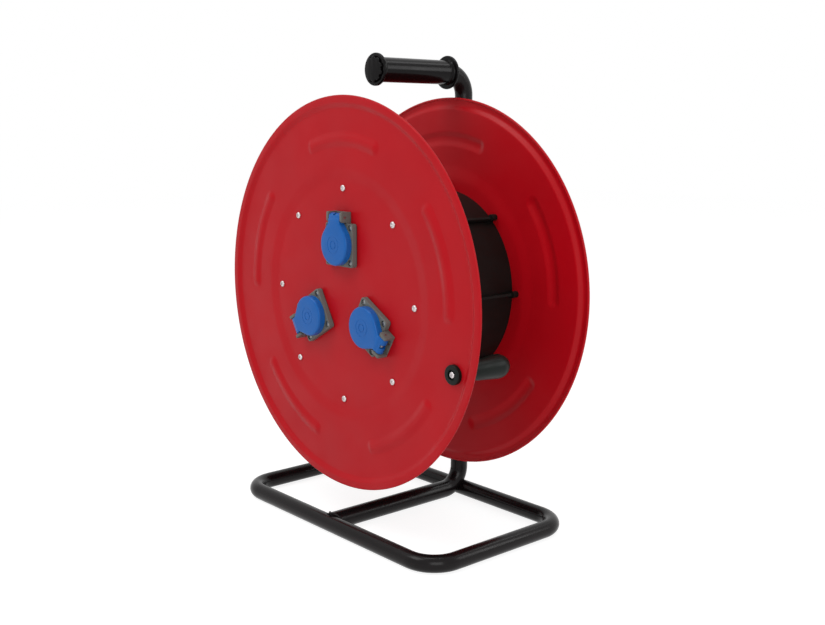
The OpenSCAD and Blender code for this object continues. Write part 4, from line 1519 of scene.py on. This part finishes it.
@dataclass
class Socket:
    """A lidded socket in its own frame: +z out of the flange's face, +y to the hinge.

    Sizes that end in u, v and w are places towards the hinge, to its side and out of the face.
    """

    ANGLES: ClassVar[dict[str, float]] = {"top": 90.0, "left": 210.0, "right": 330.0}

    circle_r: float = 60.0
    side: float = 50.5
    corner_r: float = 3.0
    base: float = 1.0
    top: float = 7.3
    recess_r: float = 19.6
    cup_r: float = 21.6
    cup_back: float = -30.0
    screw_pitch: float = 40.0
    bore_r: float = 1.95
    sink_r: float = 3.7
    sink_depth: float = 2.6
    hinge_u: float = 32.05
    hinge_w: float = 9.2
    ear_v: float = 10.7
    ear_t: float = 3.6
    ear_u: float = 38.45
    ear_w: float = 14.4
    ear_outer: float = 2.0
    ear_inner: float = 3.0
    ear_step: float = 1.0
    root_bite: float = 0.4
    root_top: float = 6.5
    pin_r: float = 1.5
    tongue: tuple[float, float] = (0.2, 1.5)
    lid_r: float = 24.2
    lid_floor: float = 7.6
    lid_top: float = 16.0
    lid_edge: float = 2.4
    lid_wall: float = 2.0
    neck_half: float = 9.9
    neck_angle: float = 39.5
    drop_u: float = 29.45
    barrel_r: float = 5.2
    slot_half: float = 2.25
    slot_skin: float = 0.6
    slot_reach: float = 10.0
    pocket_r: float = 3.3
    mark: tuple[float, float] = (4.0, 5.0)
    mark_depth: float = 0.4
    halo: tuple[float, float] = (9.4, 10.2)
    halo_depth: float = 0.2
    plate_edge: float = 0.7
    cup_overlap: float = 0.5
    ear_edge: float = 0.35
    tongue_edge: float = 0.3
    tongue_gap: float = 0.2
    slit: tuple[Point, Point] = ((-3, 33, -2), (0, 36.5, 4))
    neck_soft: float = 1.6
    neck_lift: float = 0.7
    neck_top: float = 14.0
    drop_edge: float = 2.0
    barrel_edge: float = 0.9
    pin_gap: float = 0.05
    slot_turn: float = 53.0
    above: float = 20.0
    below: float = -40.0
    bore_from: float = -5.0
    cutter_half: float = 30.0
    screw: PanScrew = field(default_factory=lambda: PanScrew(3.0, 2.0, 1.75, 13.0, 0.8))

    def place(self, angle: float) -> Matrix:
        """A socket's place on the flange's dished centre."""
        return PLACES.drum() @ Places.polar(self.circle_r, angle, -PLACES.dish)

    def corners(self) -> list[Matrix]:
        """The four screw places."""
        half = self.screw_pitch / 2 * MM
        return [Matrix.Translation((x * half, y * half, 0)) for x in (-1, 1) for y in (-1, 1)]

    def across(self, name: str, radius: float, half: float, sides: int = 40) -> Workpiece:
        """A rod along the hinge's axis.

        Args:
            name: the piece's name.
            radius: the rod's radius.
            half: half of the rod's length.
            sides: the number of sides.

        Returns:
            The rod.
        """
        turn = Matrix.Rotation(math.radians(90), 4, "Y")
        hinge = Matrix.Translation((0, self.hinge_u * MM, self.hinge_w * MM))
        return Workpiece.rod(name, radius, (-half, half), sides).placed(hinge @ turn)

    def plate(self) -> Workpiece:
        """The square plate with round corners, its recess and its counterbored screw holes.

        Returns:
            The plate.
        """
        half = self.side / 2
        plate = Workpiece.block("socket_plate", (-half, -half, self.base), (half, half, self.top))
        plate.pick(Pick.EDGE, lambda p, d: abs(d.z) > ALONG)
        plate.bevel(self.corner_r, 6)
        plate.pick(Pick.EDGE, lambda p, d: abs(p.z - self.top) < CLOSE)
        plate.bevel(self.plate_edge, 3)
        cutters = [Workpiece.rod("recess", self.recess_r, (self.below, self.above), 72)]
        seat = self.top - self.sink_depth
        for spot in self.corners():
            sink = Workpiece.rod("sink", self.sink_r, (seat, self.above), 28)
            cutters.append(sink.placed(spot))
            bore = Workpiece.rod("bore", self.bore_r, (self.bore_from, self.above), 20)
            cutters.append(bore.placed(spot))
        return plate.cut_by(*cutters)

    def cup(self) -> Workpiece:
        """The cup behind the plate.

        Returns:
            The cup.
        """
        inner, outer = self.recess_r, self.cup_r
        low, high = self.cup_back, self.base + self.cup_overlap
        section = [(inner, low), (outer, low), (outer, high), (inner, high)]
        return Workpiece.turned("socket_cup", section, 72, closed=True)

    def ear(self) -> Workpiece:
        """One hinge ear: round top corners and a root that reaches the plate's edge.

        Returns:
            The ear on the right-hand side.
        """
        inner = self.side / 2 + self.ear_step
        outer_v = self.ear_v + self.ear_t
        ear = Workpiece.block(
            "hinge_ear", (self.ear_v, inner, self.tongue[0]), (outer_v, self.ear_u, self.ear_w)
        )
        for place, width in ((self.ear_u, self.ear_outer), (inner, self.ear_inner)):

            def top_corner(p: Vector, d: Vector) -> bool:
                """Whether an edge is the top corner at this place."""
                return abs(d.x) > ALONG and abs(p.y - place) < CLOSE and p.z > self.top

            ear.pick(Pick.EDGE, top_corner)
            ear.bevel(width, 6)
        root = Workpiece.block(
            "ear_root",
            (self.ear_v, self.side / 2 - self.root_bite, self.tongue[0]),
            (outer_v, inner + self.ear_step, self.root_top),
        )
        ear.fused_with(root).rounded(self.ear_edge, 2, 40)
        return ear.cut_by(self.across("pin_hole", self.pin_r, self.cutter_half, 20))

    def body(self) -> Workpiece:
        """The grey socket body: plate, cup, two ears and the tongue between them.

        Returns:
            The body, in the socket's own frame.
        """
        ear = self.ear()
        other = ear.copied("hinge_ear_2", Matrix.Scale(-1, 4, (1, 0, 0)))
        half = self.ear_v + self.ear_t - self.tongue_gap
        low, high = self.tongue
        tongue = Workpiece.block(
            "hinge_tongue",
            (-half, self.side / 2 - self.root_bite, low),
            (half, self.ear_u - self.tongue_gap, high),
        )
        tongue.rounded(self.tongue_edge, 2, 40).cut_by(Workpiece.block("leg_slit", *self.slit))
        return self.plate().joined_with([self.cup(), ear, other, tongue])

    def lid_outline(self) -> list[Point]:
        """The lid seen from the front: a disc that runs along tangents into the hinge's neck.

        Returns:
            The outline's points, in order.
        """
        disc = arc((0, 0), self.lid_r, 180 - self.neck_angle, 360 + self.neck_angle, 88)
        start = disc[-1]
        rise = (start[0] - self.neck_half) / math.tan(math.radians(self.neck_angle))
        corners = [start, (self.neck_half, start[1] + rise), (self.neck_half, self.hinge_u)]
        right = softened(corners, self.neck_soft)[1:]
        return disc + right + [(-x, y) for x, y in reversed(right)]

    def lid(self) -> Workpiece:
        """The blue lid: outline raised, neck dropped to the barrel, edges rolled over.

        Returns:
            The shut lid, in the socket's own frame.
        """
        wire = [(x, y, self.lid_floor) for x, y in self.lid_outline()]
        barrel_top, low = self.hinge_w + self.barrel_r, self.lid_floor + 0.1
        lid = Workpiece.traced("socket_lid", wire, closed=True)
        lid.fill()
        lid.extrude((0, 0, self.lid_top - self.lid_floor))
        lid.tidied(0.01)
        lid.bisect((0, self.drop_u, 0), (0, 1, 0))
        lid.pick(Pick.VERT, lambda p, n: p.y > self.hinge_u - 0.1 and p.z > low)
        lid.move((0, 0, barrel_top - self.lid_top))
        lid.pick(Pick.VERT, lambda p, n: p.y > self.drop_u + 0.5 and p.z < low)
        lid.move((0, 0, self.neck_lift))
        lid.pick(Pick.EDGE, self.on_top_rim)
        lid.bevel(self.lid_edge, 5)
        lid.tidied(0.01)
        lid.pick(Pick.EDGE, self.on_drop)
        lid.bevel(self.drop_edge, 4)
        barrel = self.across("barrel", self.barrel_r, self.neck_half, 64)
        barrel.pick(Pick.EDGE, lambda p, d: abs(abs(p.x) - self.neck_half) < CLOSE)
        barrel.bevel(self.barrel_edge, 3)
        lid.fused_with(barrel)
        inside, roof = self.lid_r - self.lid_wall, self.lid_top - self.lid_wall
        hollow = Workpiece.rod("hollow", inside, (0, roof), 88)
        pin = self.across("pin_bore", self.pin_r + self.pin_gap, self.cutter_half, 24)
        pocket = self.across("spring_pocket", self.pocket_r, self.slot_half, 32)
        slot = Workpiece.block(
            "spring_slot",
            (-self.slot_half, self.hinge_u, 0),
            (self.slot_half, self.hinge_u + self.slot_reach, barrel_top - self.slot_skin),
        )
        mark = self.groove(self.mark, self.mark_depth)
        halo = self.groove(self.halo, self.halo_depth)
        return lid.cut_by(hollow, pin, pocket, slot, mark, halo)

    def on_top_rim(self, p: Vector, d: Vector) -> bool:
        """Whether an edge runs around the lid's face, the step down to the neck left out.

        Args:
            p: the edge's middle.
            d: the edge's direction.

        Returns:
            True for an edge of the rim.
        """
        across_step = abs(d.x) > 0.99 and p.y > self.drop_u - 0.5
        level = p.z > self.lid_floor + 3 and abs(d.z) < 0.8
        return level and p.y < self.hinge_u - 0.1 and not across_step

    def on_drop(self, p: Vector, d: Vector) -> bool:
        """Whether an edge lies where the face drops to the neck.

        Args:
            p: the edge's middle.
            d: the edge's direction.

        Returns:
            True for an edge across the top of the drop.
        """
        return p.z > self.neck_top and abs(d.x) > ALONG and abs(p.y - self.drop_u) < 0.6

    def groove(self, radii: tuple[float, float], depth: float) -> Workpiece:
        """A cutter for a ring groove in the lid's face.

        Args:
            radii: the groove's inner and outer radius.
            depth: its depth.

        Returns:
            The cutter.
        """
        (inner, outer), low, high = radii, self.lid_top - depth, self.above
        section = [(inner, low), (outer, low), (outer, high), (inner, high)]
        return Workpiece.turned("groove", section, 64, closed=True)

    def build(self) -> None:
        """Builds one socket and copies it to the three places."""
        body, lid = self.body(), self.lid()
        seat = Matrix.Translation((0, 0, (self.top - self.sink_depth) * MM))
        screws = []
        for name, angle in self.ANGLES.items():
            place = self.place(angle)
            for i, corner in enumerate(self.corners()):
                turn = Matrix.Rotation(math.radians(self.slot_turn * i), 4, "Z")
                screws.append(place @ corner @ seat @ turn)
            copy = body.copied(f"plate_{name}", place)
            copy.smooth(35).handed_over(Body.DRUM.value, PLATE_GREY, [f"socket_body_{name}"])
            copy = lid.copied(f"lid_{name}", place)
            copy.smooth(40).handed_over(f"lid_{name}", LID_BLUE, [f"socket_lid_{name}"])
        for used in (body, lid):
            bpy.data.objects.remove(used.obj)
        # The plate screws wear the darkened zinc, whose colour holds painted shade of their
        # counterbores.
        ring = ring_of(self.screw.build("plate_screw"), "plate_screws", screws)
        ring.tidied().smooth().handed_over(Body.DRUM.value, ZINC_AND_RECESS_SHADE, ["socket_screws"])


# ---- Carried-over nodes ----


def dress_cad_nodes() -> None:
    """Gives every CAD node that still shows the finish of its material slot."""
    finishes = {finish.slot: finish for finish in FINISHES}
    slots = {row["node"]: row["material_slot"] for row in frame["record"]["subparts"]}
    for name, node in frame["nodes"].items():
        if node.hide_render:
            continue
        finish = finishes[slots[name]]
        node.data.materials.clear()
        node.data.materials.append(finish.material())
        log.info("%s keeps its CAD shape, in %s", name, finish.slot)


# ---- Studio ----


@dataclass(frozen=True)
class Lamp:
    """A soft lamp with a flat face. Its places and sizes are in metres, its power in watts."""

    name: str
    spot: Point
    aim: Point
    size: tuple[float, float]
    power: float

    def hang(self) -> None:
        """Hangs the lamp with its face towards its aim."""
        data = bpy.data.lights.new(self.name, "AREA")
        data.shape, data.energy = "RECTANGLE", self.power
        data.size, data.size_y = self.size
        lamp = bpy.data.objects.new(self.name, data)
        lamp.location = self.spot
        way = Vector(self.aim) - Vector(self.spot)
        lamp.rotation_euler = way.to_track_quat("-Z", "Y").to_euler()
        bpy.context.scene.collection.objects.link(lamp)


MIDDLE = (0, 0, 0.3)  # the middle of the reel, and the arm above it, in metres
ARM = (0, 0, 0.54)
LAMPS = (
    Lamp("key", (-0.7, -1.6, 2.6), MIDDLE, (1.6, 1.4), 27.0),
    Lamp("fill", (2.1, -1.3, 1.0), MIDDLE, (1.4, 1.4), 17.5),
    Lamp("strip", (0.2, -0.2, 2.4), MIDDLE, (1.2, 0.16), 5.0),
    Lamp("rear", (1.80, 1.69, 1.35), ARM, (0.4, 1.2), 7.0),
    Lamp("top_rear", (0.45, 1.69, 2.46), ARM, (0.4, 1.2), 4.2),
)


@dataclass
class Studio:
    """The camera, the background, the floor and the lamps."""

    spot: Point = (983.697, -850.438, 476.479)
    azimuth: float = 49.97782
    elevation: float = 10.01703
    lens: float = 46.85441
    sensor: float = 36.0
    shift: tuple[float, float] = (0.03611, 0.00815)
    ambient: float = 0.42
    floor_size: float = 12.0
    floor_tone: float = 0.9
    floor_glow: float = 0.85
    shadow_tone: float = 0.34

    def camera(self) -> None:
        """Sets the camera at the viewing angle."""
        data = bpy.data.cameras.new("camera")
        data.lens, data.sensor_width = self.lens, self.sensor
        data.shift_x, data.shift_y = self.shift
        camera = bpy.data.objects.new("camera", data)
        camera.location = Vector(self.spot) * MM
        camera.rotation_euler = (math.radians(90 - self.elevation), 0, math.radians(self.azimuth))
        bpy.context.scene.collection.objects.link(camera)
        bpy.context.scene.camera = camera

    @staticmethod
    def seen(wires: Wiring) -> bpy.types.NodeSocket:
        """1 for rays that show the background: camera, mirror and glass rays.

        Args:
            wires: the material's nodes.

        Returns:
            The output that says so.
        """
        path = wires.add("ShaderNodeLightPath")
        both = wires.add("ShaderNodeMath", {"operation": "MAXIMUM"})
        wires.tree.links.new(path.outputs["Is Camera Ray"], both.inputs[0])
        wires.tree.links.new(path.outputs["Is Glossy Ray"], both.inputs[1])
        every = wires.add("ShaderNodeMath", {"operation": "MAXIMUM"})
        wires.tree.links.new(both.outputs[0], every.inputs[0])
        wires.tree.links.new(path.outputs["Is Transmission Ray"], every.inputs[1])
        return every.outputs[0]

    def sky(self) -> None:
        """A white background that lights the object at a plain level."""
        world = bpy.data.worlds.new("studio")
        bpy.context.scene.world = world
        world.use_nodes = True
        wires = Wiring(world)
        plain = wires.add("ShaderNodeBackground", Color=grey(1), Strength=self.ambient)
        shown = wires.add("ShaderNodeBackground", Color=grey(1), Strength=1.0)
        mix = wires.add("ShaderNodeMixShader", Fac=self.seen(wires))
        wires.tree.links.new(plain.outputs[0], mix.inputs[1])
        wires.tree.links.new(shown.outputs[0], mix.inputs[2])
        wires.add("ShaderNodeOutputWorld", Surface=mix.outputs[0])

    def floor(self) -> None:
        """A pale floor that keeps a soft shadow."""
        Workpiece.clear_bench()
        bpy.ops.mesh.primitive_plane_add(size=self.floor_size, location=(0, 0, 0))
        floor = Workpiece.added("floor")
        material = bpy.data.materials.new("pale_floor")
        wires = Wiring(material)
        matt = wires.add("ShaderNodeBsdfDiffuse", Color=grey(self.floor_tone))
        glow = wires.add("ShaderNodeEmission", Color=grey(1), Strength=self.floor_glow)
        veil = wires.add("ShaderNodeBsdfDiffuse", Color=grey(self.shadow_tone))
        lit = wires.add("ShaderNodeAddShader")
        wires.tree.links.new(glow.outputs[0], lit.inputs[0])
        wires.tree.links.new(veil.outputs[0], lit.inputs[1])
        mix = wires.add("ShaderNodeMixShader", Fac=self.seen(wires))
        wires.tree.links.new(matt.outputs[0], mix.inputs[1])
        wires.tree.links.new(lit.outputs[0], mix.inputs[2])
        wires.add("ShaderNodeOutputMaterial", Surface=mix.outputs[0])
        floor.obj.data.materials.append(material)

    def build(self) -> None:
        """Sets up the camera, the lamps, the sky and the floor."""
        bpy.context.scene.view_settings.view_transform = "Standard"
        self.camera()
        self.sky()
        self.floor()
        for lamp in LAMPS:
            lamp.hang()


def main() -> None:
    """Builds the studio and the reel, piece by piece."""
    logging.basicConfig(level=logging.INFO, format="%(message)s")
    Studio().build()
    Stand().build()
    flange = Flange()
    flange.front()
    flange.rear()
    FlangeScrews().build()
    WindingCore().build()
    WindingGrip().build()
    Socket().build()
    dress_cad_nodes()
    Workpiece.clear_bench()


if __name__ == "__main__":
    main()
